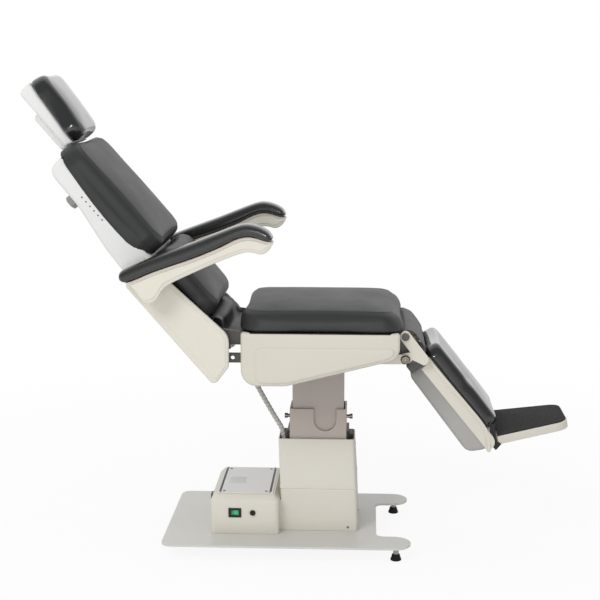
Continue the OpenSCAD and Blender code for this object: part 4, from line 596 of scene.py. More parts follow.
def pale_floor():
    """A wide floor that keeps the chair's shadow and shows nearly white to the camera: the share shown
    white rises from 0.9 at 0.9 m from the chair's middle to 1 at 2.6 m."""
    reach = 30.0
    mesh = bpy.data.meshes.new("floor")
    corners = [(x * reach, y * reach, 0) for x, y in ((-1, -1), (1, -1), (1, 1), (-1, 1))]
    mesh.from_pydata(corners, [], [(0, 1, 2, 3)])
    floor = bpy.data.objects.new("floor", mesh)
    SCENE.collection.objects.link(floor)
    p = Paint("floor_paper", "#f2f2f2", Roughness=0.9, Specular_IOR_Level=0.1)
    p.shade(p.noise(2.0, 2.0), 0.99, 1.0)
    seen = p.node("ShaderNodeLightPath", {}, out="Is Camera Ray")
    glow = p.node("ShaderNodeEmission", {}, Strength=1.0)
    far = p.node("ShaderNodeVectorMath", {"operation": "LENGTH"}, p.place, out="Value").within(0.9, 2.6)
    share = seen * (far * 0.1 + 0.9)
    blend = p.node("ShaderNodeMixShader", {}, share, Wire(p, p.shader.outputs[0]), glow)
    p.tree.links.new(blend.socket, p.tree.nodes["Material Output"].inputs[0])
    mesh.materials.append(p.material)


def studio():
    """White to the camera. Gloss meets a white sweep behind the chair and a dim room before it; the
    chair itself is lit evenly, a little more from above."""
    world = bpy.data.worlds.new("studio")
    world.use_nodes = True
    SCENE.world = world
    web = Web(world.node_tree)
    way = web.node("ShaderNodeTexCoord", {}, out="Generated")
    y, z = (web.node("ShaderNodeSeparateXYZ", {}, way, out=k) for k in (1, 2))
    seen = web.node("ShaderNodeLightPath", {}, out="Is Camera Ray")
    gloss = web.node("ShaderNodeLightPath", {}, out="Is Glossy Ray")
    sweep = y.within(-0.35, 0.15) * 0.68 + 0.32
    even = z.within(-0.4, 0.9) * 0.42 + 0.35
    level = seen + (1.0 - seen) * (gloss * sweep + (1.0 - gloss) * even)
    back = world.node_tree.nodes["Background"]
    back.inputs["Color"].default_value = (1, 1, 1, 1)
    world.node_tree.links.new(level.socket, back.inputs["Strength"])
    lamp("key_light", (-1.8, -3.0, 3.2), (0, 0, 0.7), 1.5, 57, False)
    lamp("front_light", (0.1, -3.9, 0.9), (0.0, 0, 0.7), 0.4, 17)
    SCENE.view_settings.view_transform = "Standard"


# Cable hose

# Route of the hose in side view, as shares of its run from the gland forward and down
HOSE_SHARES = [(0, 1), (0, 0.91), (0.17, 0.72), (0.44, 0.53), (0.71, 0.355), (0.92, 0.225), (1, 0.11), (1, 0)]
HOSE_TOP, HOSE_RUN, HOSE_Y = (-205.0, 560.0), (101.0, 275.0), -30.0
HOSE_R, WRAP_DEEP, WRAP_PITCH, HOSE_SIDES = 7.5, 2.4, 13.0, 24


def cable_hose():
    """Spiral wrapped cable hose: a tube along the route whose radius is r less a groove of depth d where
    the turn count, run / pitch - angle / 2 pi, passes a whole number: d (|cos(pi turns)|)^16."""
    forward, up = np.array(HOSE_SHARES).T
    route = np.stack([HOSE_TOP[0] + HOSE_RUN[0] * forward, HOSE_TOP[1] - HOSE_RUN[1] * (1 - up)], -1)
    line = resample(spline(route, 400), 301, closed=False)
    path = COLUMN.world(line[:, 0], HOSE_Y, line[:, 1])
    run = np.concatenate([[0], np.cumsum(np.linalg.norm(np.diff(path, axis=0), axis=1))])
    turns = run[:, None] / WRAP_PITCH - np.arange(HOSE_SIDES)[None, :] / HOSE_SIDES
    radius = HOSE_R - WRAP_DEEP * np.abs(np.cos(math.pi * turns)) ** 16
    hose = tube(path, radius, (0, 1, 0), HOSE_SIDES, closed=False)
    made = piece("cable_hose_wrapped", hose, HOSE_WRAP, replaces=("cable_hose",),
                 smooth=60)
    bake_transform(made)


# Cushions

# Side of a cushion from its base to the crease: shares of the edge's inset and of the wall's height
WALL_SHARES = [(0.06, 0), (0, 0.15), (0, 0.40), (0.04, 0.62), (0.15, 0.83), (0.42, 1)]


def pad_rings(hx, hy, wall, crown, edge, r, power=4.0):
    """A cushion on a plane, hx and hy its half length and half width. Wall: rings inset by a share of the
    edge at a share of the height, plus 2 sin(pi height) mm for the cloth to fill, their sides pulled in by
    0.1 edge. Top, from the crease: wall + crown ((1 - |x/a|^p) (1 - |y/b|^p))^0.8."""
    slack = 2.0
    rings = []
    for share, height in spline(WALL_SHARES, 25):
        d = edge * share + slack * math.sin(math.pi * min(height, 1))
        bow = 0.1 * edge * (1 - share)
        ring = rect_ring(d - hx, hx - d, d - hy, hy - d, max(r - d * 0.8, 4), bow, 10, 18)
        rings.append(np.column_stack([ring, np.full(len(ring), wall * height)]))
    crease = rings[-1]
    a, b = np.abs(crease[:, :2]).max(0)
    for s in 1 - np.linspace(0, 1, 26)[1:-1] ** 1.3:
        x, y = crease[:, 0] * s, crease[:, 1] * s
        lift = (1 - np.abs(x / a) ** power) * (1 - np.abs(y / b) ** power)
        rings.append(np.column_stack([x, y, crease[:, 2] + crown * lift ** 0.8]))
    return np.array(rings), crease


def puff(obj, holds, cap):
    """Voxel remesh, then 20 frames of cloth under pressure with the base and the seam held; no point
    moves by more than cap, and the result is kept in the mesh."""
    frames = 20
    made = obj.modifiers.new("remesh", "REMESH")
    made.mode, made.voxel_size = "VOXEL", 0.005
    made.use_smooth_shade = True
    apply_modifiers(obj)
    mesh = obj.data
    start = np.zeros(len(mesh.vertices) * 3, np.float32)
    mesh.vertices.foreach_get("co", start)
    start = start.reshape(-1, 3)
    held = holds(start)
    group = obj.vertex_groups.new(name="held")
    for weight in (1.0, 0.5):
        chosen = np.nonzero(np.isclose(held, weight))[0].tolist()
        if chosen:
            group.add(chosen, weight, "REPLACE")
    cloth = obj.modifiers.new("cloth", "CLOTH")
    skin = cloth.settings
    skin.quality, skin.mass, skin.air_damping = 6, 0.35, 1.5
    skin.tension_stiffness = skin.compression_stiffness = 22
    skin.shear_stiffness, skin.bending_stiffness = 8, 1.5
    skin.use_pressure, skin.uniform_pressure_force = True, 4.0
    skin.vertex_group_mass = "held"
    skin.effector_weights.gravity = 0
    cloth.collision_settings.use_collision = False
    cloth.point_cache.frame_start, cloth.point_cache.frame_end = 1, frames
    for step in range(1, frames + 1):
        SCENE.frame_set(step)
    shown = obj.evaluated_get(bpy.context.evaluated_depsgraph_get()).data
    end = np.zeros(len(shown.vertices) * 3, np.float32)
    shown.vertices.foreach_get("co", end)
    move = end.reshape(-1, 3) - start
    size = np.linalg.norm(move, axis=1, keepdims=True)
    move *= np.minimum(1.0, cap / np.maximum(size, 1e-9))
    obj.modifiers.remove(cloth)
    mesh.vertices.foreach_set("co", (start + move).ravel())
    obj.vertex_groups.clear()
    SCENE.frame_set(1)
    mesh.update()


def apply_modifiers(obj):
    """Puts what the modifiers make into the object's own mesh."""
    shown = obj.evaluated_get(bpy.context.evaluated_depsgraph_get())
    new = bpy.data.meshes.new_from_object(shown)
    obj.modifiers.clear()
    old, obj.data = obj.data, new
    bpy.data.meshes.remove(old)


def cushion(name, place, up, size, body, node, finish, cap=4.0, welt=0.0, dress=None):
    """An upholstered block: the padded form, simulated, and the welt that runs round its crease. The
    size is what pad_rings takes, and dress moves the form's points first."""
    rings, crease = pad_rings(*size)
    if dress is not None:
        rings, crease = dress(rings), dress(crease[None])[0]
    obj = piece(name, loft(place(rings)), finish)
    seam = place(resample(crease, 240)) * MM
    base = (place(np.array([[0.0, 0.0, 0.0]]))[0]) * MM
    way = np.asarray(up, float) / np.linalg.norm(up)

    def holds(points):
        """1 within 5 mm of the base plane, and within 5 mm of the crease; 0.5 to 9 mm from the crease."""
        height = (points - base) @ way
        near = np.full(len(points), 1e9)
        for part in np.array_split(np.arange(len(points)), max(1, len(points) // 4000)):
            gap = np.linalg.norm(points[part][:, None] - seam[None], axis=2)
            near[part] = gap.min(1)
        weight = np.where(near < 0.009, 0.5, 0.0)
        return np.where((near < 0.005) | (height < 0.005), 1.0, weight)

    puff(obj, holds, cap * MM)
    obj.data.shade_smooth()
    finer = obj.modifiers.new("finish", "SUBSURF")
    finer.levels = finer.render_levels = 1
    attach(obj, body)
    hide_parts(node)
    if welt:
        line = seam / MM - way * 0.9
        piece(name + "_welt", tube(line, welt, way, 10), finish, body=body, smooth=70)


def on_seat(points):
    """Cushion coordinates laid on the seat board."""
    return COLUMN.world(points[..., 0] + 14.5, points[..., 1], points[..., 2] + BOARD_TOP + SEAM)


def standing(side, x, z0, z1):
    """Cushion coordinates stood on a leaning side view: its top looks along the view's X."""
    mid = (z0 + z1) / 2
    return lambda p: side.world(x + SEAM + p[..., 2], p[..., 1], mid - p[..., 0])


def along_x(side):
    """The direction of a side view's X axis in the chair."""
    return (side.c, 0.0, -side.s)


def leg_pinch(rings):
    """The leg cushion's vinyl is drawn in half way down both long sides: height times 1 - 0.14
    exp(-((x - 2) / 17)^2) |y / 146|^5 + 0.05 (-x / 150 - 0.4), the last part between 0 and 1 only."""
    rings = rings.copy()
    x, y = rings[..., 0], np.minimum(np.abs(rings[..., 1]) / 146, 1)
    rings[..., 2] *= 1 - 0.14 * np.exp(-((x - 2) / 17) ** 2) * y ** 5 + 0.05 * np.clip(-x / 150 - 0.4, 0, 1)
    return rings


def seat_nose(rings):
    """Over u, the share of the seat's last 110 mm, its front leans back, x less 15 mm (z / 59)^2 u^2,
    and sinks, z times 1 - 0.1 u^3."""
    reach, wall = 110, 59
    rings = rings.copy()
    u = np.clip((rings[..., 0] - reach) / reach, 0, 1)
    rings[..., 0] -= 15 * (rings[..., 2] / wall) ** 2 * u ** 2
    rings[..., 2] *= 1 - 0.10 * u ** 3
    return rings


def eased(half, wall, whole, crown, end=-1):
    """Toward one end, at share u of the half length, the part above the wall falls by crown u of itself
    and then the whole height by whole u."""
    def dress(rings):
        rings = rings.copy()
        u = np.clip(end * rings[..., 0] / half, 0, 1)
        over = np.maximum(rings[..., 2] - wall, 0)
        rings[..., 2] = (rings[..., 2] - over * crown * u) * (1 - whole * u)
        return rings
    return dress


def upholstery():
    """The five cushions, each on the plane that carries it."""
    front = along_x(BACK)
    cushion("seat_cushion_vinyl", on_seat, (0, 0, 1), (236, 230, 59, 11, 54, 62), "seat", "seat_cushion",
            VINYL, welt=1.3, dress=seat_nose)
    cushion("back_cushion_vinyl", standing(BACK, 0, 304, 693), front, (194.5, 208, 52.5, 11, 47, 56),
            "back", "back_cushion", VINYL, welt=1.3, dress=eased(194.5, 52.5, 0.03, 0.6))
    cushion("lumbar_cushion_vinyl", standing(BACK, 0, 63, 299), front, (118, 208, 52, 12, 47, 56),
            "back", "lumbar_cushion", VINYL, welt=1.3)
    cushion("head_cushion_vinyl", standing(HEAD, 0.3, 0, 214), along_x(HEAD), (107, 118, 49, 7, 34, 46),
            "headrest", "head_cushion", VINYL_GLOSS, cap=2.5, dress=eased(107, 49, 0.05, 0.4))
    thinner = eased(152.5, 42, 0.05, 0.5, 1)
    cushion("leg_cushion_vinyl", standing(LEG, 12, -380, -75), along_x(LEG), (152.5, 150, 42, 4.5, 30, 34),
            "leg_rest", "leg_cushion", VINYL_GLOSS, cap=2.0, dress=lambda rings: leg_pinch(thinner(rings)))
    back_wrap()


def back_wrap():
    """Vinyl drawn over the edge of the back cushion's board: a hoop round the board whose free edge
    follows a curve against the length."""
    bottom, top, half_x, half_y, corner = 304, 693, 194.5, 208, 56
    z = np.array([300, 309, 316, 330, 350, 378, 425, 471, 520, 573, 625, 660, 678, 687, 695])
    low = np.array([1, 0.5, -2, -10, -19, -26, -27.5, -27, -24.5, -20, -14, -10, -8, -6, -4])
    place = standing(BACK, 0, bottom, top)

    def hoop(d, x, bow):
        """The board's outline moved in by d, at a height x over the cushion's plane."""
        ring = rect_ring(d - half_x, half_x - d, d - half_y, half_y - d, corner - d * 0.6, bow, 10, 60)
        return place(np.column_stack([ring, x + 0 * ring[:, 0]]))

    board = rect_ring(-half_x, half_x, -half_y, half_y, corner, 0, 10, 60)
    edge = np.interp((bottom + top) / 2 - board[:, 0], z, low)
    rows = [(3.4, 9, 4.7), (0.6, 9, 4.7), (0.3, 5, 3.4), (0.1, 1.2, 1.6), (-0.3, edge * 0.6, 0),
            (-0.3, edge + 0.7, 0), (0.3, edge, 0), (1.8, edge, 0)]
    rings = [hoop(*row) for row in rows]
    piece("back_cushion_wrap", loft(rings, around=True), VINYL, body="back", smooth=60)


# Flaps

# Side lines of the flaps, in mm from the column's middle and from the floor
REAR_FLAP = [(-310.4, 687.3), (-316.3, 694.1), (-316, 703), (-308, 710), (-297.9, 711.8), (-287.5, 710.4),
             (-277, 706.6), (-271, 700.5), (-268, 694), (-266.5, 685.5), (-264.5, 676.2), (-260, 668.3),
             (-253.5, 663.8), (-243.3, 662.6), (-231.5, 662.5), (-222, 664.6), (-214.3, 670), (-214.3, 674.8)]
FRONT_FLAP = [(234.4, 664.6), (234.4, 674.8), (247.6, 674.8), (259, 677.8), (272, 674.2), (283, 667),
              (295, 652), (305.2, 637), (314.2, 620.2), (312.7, 606.0), (322.2, 592.6)]
FLAP_HALF, FLAP_T = 174.0, 2.4


def flap(name, node, line, fold):
    """A vinyl strip across the chair. Its side line is a smooth curve; fold(s, y) moves a point along
    the curve's normal, and the under side lies one thickness below. Gives its length in mm as well."""
    path = resample(spline(line, 240), 72, closed=False)
    y = np.linspace(-FLAP_HALF, FLAP_HALF, 61)
    t = np.gradient(path, axis=0)
    n = np.stack([-t[:, 1], t[:, 0]], -1) / np.linalg.norm(t, axis=1, keepdims=True)
    s = np.linspace(0, 1, len(path))
    lift = fold(s[:, None], y[None, :])
    top = path[:, None] + n[:, None] * lift[..., None]
    low = top - n[:, None] * FLAP_T
    across = np.broadcast_to(y, lift.shape)
    ring = np.concatenate([np.dstack([top[..., 0], across, top[..., 1]]),
                           np.dstack([low[..., 0], across, low[..., 1]])[:, ::-1]], 1)
    ring[..., 0] += COLUMN_X
    obj = piece(name, loft(ring), VINYL, replaces=(node,), smooth=50)
    length = float(np.linalg.norm(np.diff(path, axis=0), axis=1).sum())
    return obj, length


def rear_fold(s, y):
    """Soft gathers, most in the middle of the run: a slanting valley 4 mm deep inside each side edge,
    4 exp(-((|y| - 128 + 70 (s - 0.5)) / 26)^2), and 1.5 mm sin(y / 49 + 3 s)."""
    ease = np.sin(math.pi * np.clip(s, 0, 1)) ** 2
    valley = 4 * np.exp(-((np.abs(y) - 128 + 70 * (s - 0.5)) / 26) ** 2)
    return ease * (1.5 * np.sin(y / 49.0 + 3.0 * s) - valley)


def front_fold(s, y):
    """Nearly taut: 0.8 mm of slack along its middle."""
    return np.sin(math.pi * np.clip(s, 0, 1)) ** 2 * 0.8 * np.sin(y / 40.0 + 3.0 * s)


def flaps():
    """The vinyl strips over the two hinges."""
    obj, length = flap("rear_flap_vinyl", "rear_flap", REAR_FLAP, rear_fold)
    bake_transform(obj)
    obj, length = flap("front_flap_vinyl", "front_flap", FRONT_FLAP, front_fold)
    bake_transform(obj)


# Arms

ARM_L, ARM_H = 386.0, 80.0
PAD_Y, PAD_HALF, BODY_HALF = 300.0, 35.0, 26.0
# Side lines of an arm, as shares of its length and height from the pivot
ARM_TOP = [(-0.145, 0.80), (-0.13, 0.90), (-0.07, 0.965), (0.05, 1.0), (0.25, 1.005), (0.45, 1.0),
           (0.62, 1.015), (0.78, 1.02), (0.86, 0.95), (0.93, 0.74), (0.98, 0.48), (1.0, 0.27)]
ARM_SEAM = [(-0.145, 0.575), (-0.12, 0.51), (-0.03, 0.50), (0.09, 0.53), (0.25, 0.52), (0.40, 0.50),
            (0.60, 0.53), (0.74, 0.60), (0.82, 0.56), (0.88, 0.42), (0.94, 0.20), (0.985, 0.09)]
ARM_LOW = [(0.985, 0.04), (0.955, -0.10), (0.91, -0.19), (0.87, -0.175), (0.82, -0.02), (0.75, 0.08),
           (0.56, 0.075), (0.35, 0.01), (0.19, -0.06), (0.12, -0.17), (0.065, -0.38), (0.02, -0.46),
           (-0.03, -0.40), (-0.062, 0.03), (-0.09, 0.49)]


def height_on(points, x):
    """Height of a smooth line through side view points at given x."""
    line = spline(np.array(points) * [ARM_L, ARM_H], 400)
    line = line[np.argsort(line[:, 0])]
    return np.interp(x, line[:, 0], line[:, 1])


def end_scale(d, reach, power=2.4):
    """Fullness near an end: (1 - (1 - d / reach)^power)^(1 / power) until d passes the reach."""
    f = np.clip(1 - d / reach, 0, 1)
    return np.maximum((1 - f ** power) ** (1 / power), 0.03)


def arm_pad():
    """Pad: superellipse sections |u|^(1/0.3) + |v|^(1/0.3) = 1 between the top and the seam line, smaller
    toward the rear end and the tip."""
    top = resample(spline(np.array(ARM_TOP) * [ARM_L, ARM_H], 300), 90, closed=False)
    low = resample(spline(np.array(ARM_SEAM) * [ARM_L, ARM_H], 300), 90, closed=False)
    mid, half = (top + low) / 2 + [0, SEAM], (top - low) / 2
    run = np.concatenate([[0], np.cumsum(np.linalg.norm(np.diff(mid, axis=0), axis=1))])
    rear, tip = 16, 22
    fine = np.concatenate([np.linspace(0, rear, 10)[:-1], np.linspace(rear, run[-1] - tip, 80)[:-1],
                           np.linspace(run[-1] - tip, run[-1], 12)])
    mid, half = (np.stack([np.interp(fine, run, line[:, k]) for k in (0, 1)], -1) for line in (mid, half))
    f = end_scale(fine, rear) * end_scale(run[-1] - fine, tip)
    a = np.linspace(0, 2 * math.pi, 40, endpoint=False)
    u = np.sign(np.cos(a)) * np.abs(np.cos(a)) ** 0.6
    v = np.sign(np.sin(a)) * np.abs(np.sin(a)) ** 0.6
    x = mid[:, :1] + half[:, :1] * v * f[:, None]
    z = mid[:, 1:] + half[:, 1:] * v * f[:, None]
    y = PAD_Y + u * PAD_HALF * (0.35 + 0.65 * f)[:, None]
    return loft(ARM.world(x, y, z))


def arm_body():
    """Moulded body: sections along the arm from the seam to the low line. From the top: a band, a
    groove, the panel, and a step 10 mm above the lower edge; a turned collar at its pivot."""
    x0, x1 = -0.115 * ARM_L, 0.983 * ARM_L
    t = np.linspace(0, math.pi, 150)
    x = x0 + (x1 - x0) * (1 - np.cos(t)) / 2
    hi = height_on(ARM_SEAM, x) - 0.6
    lo = np.minimum(height_on(ARM_LOW, x), hi - 0.8)
    deep = (hi - lo)[:, None]
    wide = BODY_HALF * (0.72 + 0.28 * end_scale(x - x0, 26)) * (0.66 + 0.34 * end_scale(x1 - x, 34))
    small = np.minimum(1, deep / 30)
    top = np.array([(0, 4.0), (0.8, 2.0), (7.8, 1.8), (8.5, 3.2), (9.2, 3.2), (10.0, 0.6), (11.5, 0.2)])
    low = np.array([(12.4, 0.2), (11.2, 0.6), (10.4, 1.9), (9.4, 2.2), (4.0, 2.4), (1.6, 3.6), (0.4, 6.4),
                    (0, 9)])
    upper, lower = top[:, 0] * small, low[:, 0] * small
    middle = 11.5 * small + (deep - 23.9 * small) * np.array([0.3, 0.6, 0.85])
    side_z = hi[:, None] - np.concatenate([upper, middle, deep - lower], 1)
    dips = np.concatenate([top[:, 1], [0, 0, 0], low[:, 1]])
    side_y = wide[:, None] - dips * small
    rings = np.concatenate([ARM.world(x[:, None], PAD_Y - side_y, side_z),
                            ARM.world(x[:, None], PAD_Y + side_y, side_z)[:, ::-1]], 1)
    pivot = ARM.world(0, 253, 0)
    collar = turned([(0.1, 0), (26, 0), (28.4, 1.2), (28.8, 3), (28.8, 22)], pivot, (0, 1, 0), 64)
    return joined([loft(rings), collar]), (x, hi, wide, small[:, 0])


def arm_bands(lines):
    """Rose grey trim under the pad, on both sides: a flat bar from 1 to 7.6 mm below the seam."""
    x, hi, wide, small = lines
    keep = slice(6, -7)
    x, hi, wide, small = x[keep], hi[keep], wide[keep], small[keep]
    section = np.array([(-1.2, 1.0), (0.1, 1.0), (0.5, 1.8), (0.5, 6.8), (0.1, 7.6), (-1.2, 7.6)])
    y = wide[:, None] + (section[:, 0] - 1.9)[None, :] * small[:, None]
    z = hi[:, None] - section[:, 1][None, :] * small[:, None]
    return joined([loft(ARM.world(x[:, None], PAD_Y + y * out, z)) for out in (1, -1)])


def arms():
    """Both arms: pad, body and trim."""
    pad, (body, lines) = arm_pad(), arm_body()
    band = arm_bands(lines)
    for hand, turn in HANDS:
        made = piece(f"arm_pad_{hand}_skin", turn(pad), SKIN_FOAM, body=f"arm_{hand}",
                     replaces=(f"arm_pad_{hand}",), smooth=60)
        piece(f"arm_body_{hand}_moulding", turn(body), CREAM, body=f"arm_{hand}",
              replaces=(f"arm_body_{hand}",), smooth=38)
        piece(f"arm_band_{hand}", turn(band), BAND, body=f"arm_{hand}", smooth=38)


# Back

SHELL_SHARES = [(0.04, 0), (1, 0), (0.92, 0.29), (0.68, 0.66), (0.655, 0.93), (0.54, 0.985), (0.04, 1)]
SHELL_DEEP, SHELL_LOW, SHELL_TOP, SHELL_HALF = 94.0, 290.0, 680.0, 206.0


def shell_outline():
    """Side view of the upper back shell: its corners as shares of its depth and height."""
    s = np.array(SHELL_SHARES)
    p = np.stack([-SHELL_DEEP * s[:, 0], SHELL_LOW + (SHELL_TOP - SHELL_LOW) * s[:, 1]], -1)
    return rounded(p[::-1], 360, 30)


def raised_panel(side, outline, y_face, rise, edge, clip, passes=26, ramp=5.0):
    """A panel standing proud of a cover's face: the cover's outline moved in, clipped to a box
    (x0, x1, z0, z1), and softened; its edge is a rounded ramp, sunk into the face."""
    o = inset(outline, edge)
    x0, x1, z0, z1 = clip
    o = np.stack([np.clip(o[:, 0], x0, x1), np.clip(o[:, 1], z0, z1)], -1)
    o = soften(resample(o, 360), passes)
    out = 1 if y_face > 0 else -1
    centre = o.mean(0)
    levels = [(centre + (inset(o, ramp) - centre) * s, y_face + out * rise) for s in (0.02, 0.5)]
    levels += [(inset(o, i), y_face + out * (rise - d)) for i, d in edge_round(1, 7) * [ramp, rise]]
    levels += [(o, y_face - out * 0.8)]
    return loft([side.world(a[:, 0], y, a[:, 1]) for a, y in levels])


def back_shells():
    """Upper back shell with its recessed side panels, and the two lower back covers."""
    outline = shell_outline()
    piece("upper_back_shell_moulding", bar_form(BACK, outline, -SHELL_HALF, SHELL_HALF, 15), WHITE,
          body="back", replaces=("upper_back_shell",))
    recess = raised_panel(BACK, outline, -SHELL_HALF, 1.5, 11, (-74, -9, 306, 466), 14)
    piece("upper_back_shell_panels", both_sides(recess), WHITE, body="back")
    for (hand, turn), nose in zip(HANDS, (39, 49)):
        circles = [(-96, 282, 8), (-88, -73, 16), (-45.5, -61, 19), (-26, 6, nose), (-16, 282, 8)]
        cover = band_round(circles, 360)
        form = tray(BACK, cover, 250.2, 240, 6, 3, 0.6)
        rim = raised_panel(BACK, cover, 250.6, 1.8, 8, (-88, 60, -200, 266), 10)
        piece(f"back_cover_{hand}_moulding", turn(joined([form, rim])), CREAM, body="back",
              replaces=(f"back_cover_{hand}",), smooth=35)


# Seat covers

SEAT_COVER = [(-209, 670, 6), (232, 670, 6), (-169, 566, 46), (-100, 622, 102), (197, 634, 41)]


def seat_covers():
    """Seat side covers: the CAD's band round circles, cut off at the board's top, with a panel
    standing proud whose upper rear corner is round."""
    blob = band_round(SEAT_COVER, 2000)
    cover = rounded(np.stack([blob[:, 0], np.minimum(blob[:, 1], BOARD_TOP)], -1), 420, 3)
    form = tray(COLUMN, cover, 235, 214, 9, 3, 0.6)
    panel = raised_panel(COLUMN, cover, 235.2, 3.6, 9, (-174, 250, 500, 634), 60, 8.0)
    both = joined([form, panel])
    for hand, turn in HANDS:
        piece(f"seat_cover_{hand}_moulding", turn(both), CREAM_COVER_SHADED, body="seat",
              replaces=(f"seat_cover_{hand}",), smooth=35)


# Base

def column_cover():
    """Tall moulding round the column: rounded rectangles in plan from the plate to the rim, with a
    ridge at its crease, a rolled rim and its inner wall down to the foot, which reaches into the cabinet."""
    low, crease, top = 49.3, 180.0, 319.0
    foot, neck, wall = 138, 144, 3.0
    levels = [(low, -0.8), (low + 1.5, 0), (90, 0), (foot, 0), (neck, 0), (170, 0), (175, 0), (177.5, -0.4),
              (crease, 1.0), (182, 1.0), (184, 0.3), (190, 0), (220, 0), (270, 0), (top - 2.0, 0),
              (top - 0.6, -0.5), (top, -1.5)]

    def ring(z, g):
        """Plan at a height, moved out by g."""
        back = np.interp(z, [low, foot, neck, crease, top], [123, 123, 110.1, 111, 119]) + g
        front = np.interp(z, [low, crease, top], [122, 117, 110]) + g
        half = np.interp(z, [low, crease, top], [110, 110, 62]) + g
        return rect_ring(-back, front, -half, half, 10 + min(g, 0), 0, 10, 8)

    rings = [(ring(z, g), z) for z, g in levels]
    rings += [(ring(max(z, neck), -wall), z) for z in (top - 0.6, top - 30, crease + 6, neck, low + 0.3)]
    return loft([COLUMN.world(a[:, 0], a[:, 1], z) for a, z in rings], around=True)


def power_box():
    """Cabinet: upright sides, a rounded shoulder and a bevel up to the flat top."""
    front, rear, half, top, bevel = -111.3, 316.0, 150.0, 168.0, 17.0
    edge = top - bevel
    levels = [(0.8, 49.3), (0, 50.5), (0, 90), (0, edge - 5), (0.5, edge - 1.5), (2.2, edge + 2),
              (bevel - 3.5, top - 2.6), (bevel - 1.2, top - 0.8), (bevel + 2, top), (bevel + 60, top)]
    rings = [(rect_ring(-rear + g, front - min(g, 14), g - half, half - g, max(15 - g * 0.4, 6), 0, 10, 8), z)
             for g, z in levels]
    return plan_form(COLUMN, rings)


# Openings of the cabinet for the mains inlet and the rocker: opposite corners from the column's foot
WINDOWS = [((-317.5, -52.5, 118.5), (-297.0, -27.5, 137.5)),
           ((-257.5, -152.0, 105.5), (-228.5, -129.0, 124.5))]


def cut_windows(obj, windows):
    """Cuts box shaped windows, each given by two corners from the column's foot, into a piece."""
    for (x0, y0, z0), (x1, y1, z1) in windows:
        rings = [COLUMN.world([x0, x1, x1, x0], [y0, y0, y1, y1], z) for z in (z0, z1)]
        cutter = piece("window_cutter", loft(rings), CREAM_BOX)
        made = obj.modifiers.new("window", "BOOLEAN")
        made.operation, made.solver, made.object = "DIFFERENCE", "EXACT", cutter
        apply_modifiers(obj)
        bpy.data.objects.remove(cutter)
    obj.data.set_sharp_from_angle(angle=math.radians(35))


def inlet_shroud():
    """Open rim 9 mm deep round the mains inlet in the cabinet's rear face."""
    rings = []
    for g, x in [(0, -314), (0, -324), (0.6, -324.6), (2.2, -324.6), (2.8, -324), (2.8, -314)]:
        o = rect_ring(g - 55.5, -24.5 - g, 115.5 + g, 140.5 - g, 3, 0, 5, 2)
        rings.append(COLUMN.world(x, o[:, 0], o[:, 1]))
    piece("power_inlet_shroud", loft(rings, around=True), BLACK, body="base", smooth=30)


def base_pieces():
    """The column's cover, the cabinet with its label, lid slots and screws, and the four rubber feet."""
    piece("column_cover_moulding", column_cover(), CREAM_BOX, body="base", replaces=("column_cover",),
          smooth=30)
    cabinet = piece("power_box_cabinet", power_box(), CREAM_BOX, body="base", replaces=("power_box",),
                    smooth=30)
    cut_windows(cabinet, WINDOWS)
    label = rect_ring(-272, -222, -38, 26, 3, 0, 5, 2)
    piece("lid_label_blank", plan_form(COLUMN, [(label, 169.9), (label, 170.25), (inset(label, 0.3), 170.4)]),
          LABEL, body="base")
    slots = [rect_ring(x - 3, x + 3, -118, 118, 2.5, 0, 5, 2) for x in (-289.5, -139.5)]
    slots = [plan_form(COLUMN, [(line, 169.8), (line, 170.3)]) for line in slots]
    piece("lid_end_slots", joined(slots), BLACK, body="base")
    head = [(0.1, 0), (4.2, 0), (4.2, 0.6), (3.4, 1.4), (1.4, 1.7), (1.2, 1.1), (0.1, 1.1)]
    screws = [turned(head, COLUMN.world(x, y, 170), (0, 0, 1), 24) for x in (-278, -152) for y in (-112, 112)]
    piece("lid_screw_heads", joined(screws), ZINC, body="base")
    small = [(0.1, 0), (3.6, 0), (3.6, 0.5), (3.0, 1.2), (1.2, 1.5), (1.0, 1.0), (0.1, 1.0)]
    screw = turned(small, COLUMN.world(92.0, -109.9, 61.0), (0, -1, 0), 24)
    piece("cover_face_screw", screw, ZINC, body="base")
    profile = [(0.1, 0), (14.4, 0), (15.6, 0.8), (16, 2.2), (15.4, 4), (15.6, 5), (14.2, 8), (13.6, 9),
               (12.6, 13), (11.6, 17), (10.6, 18.6), (9, 19), (0.1, 19)]
    feet = [turned(profile, (COLUMN_X + x, y, 0), (0, 0, 1), 44)
            for x, y in ((234, 212), (234, -212), (-400, 112), (-400, -112))]
    piece("rubber_feet", joined(feet), PAD_RUBBER, body="base", replaces=("foot_pads",),
          smooth=30)


# Headrest

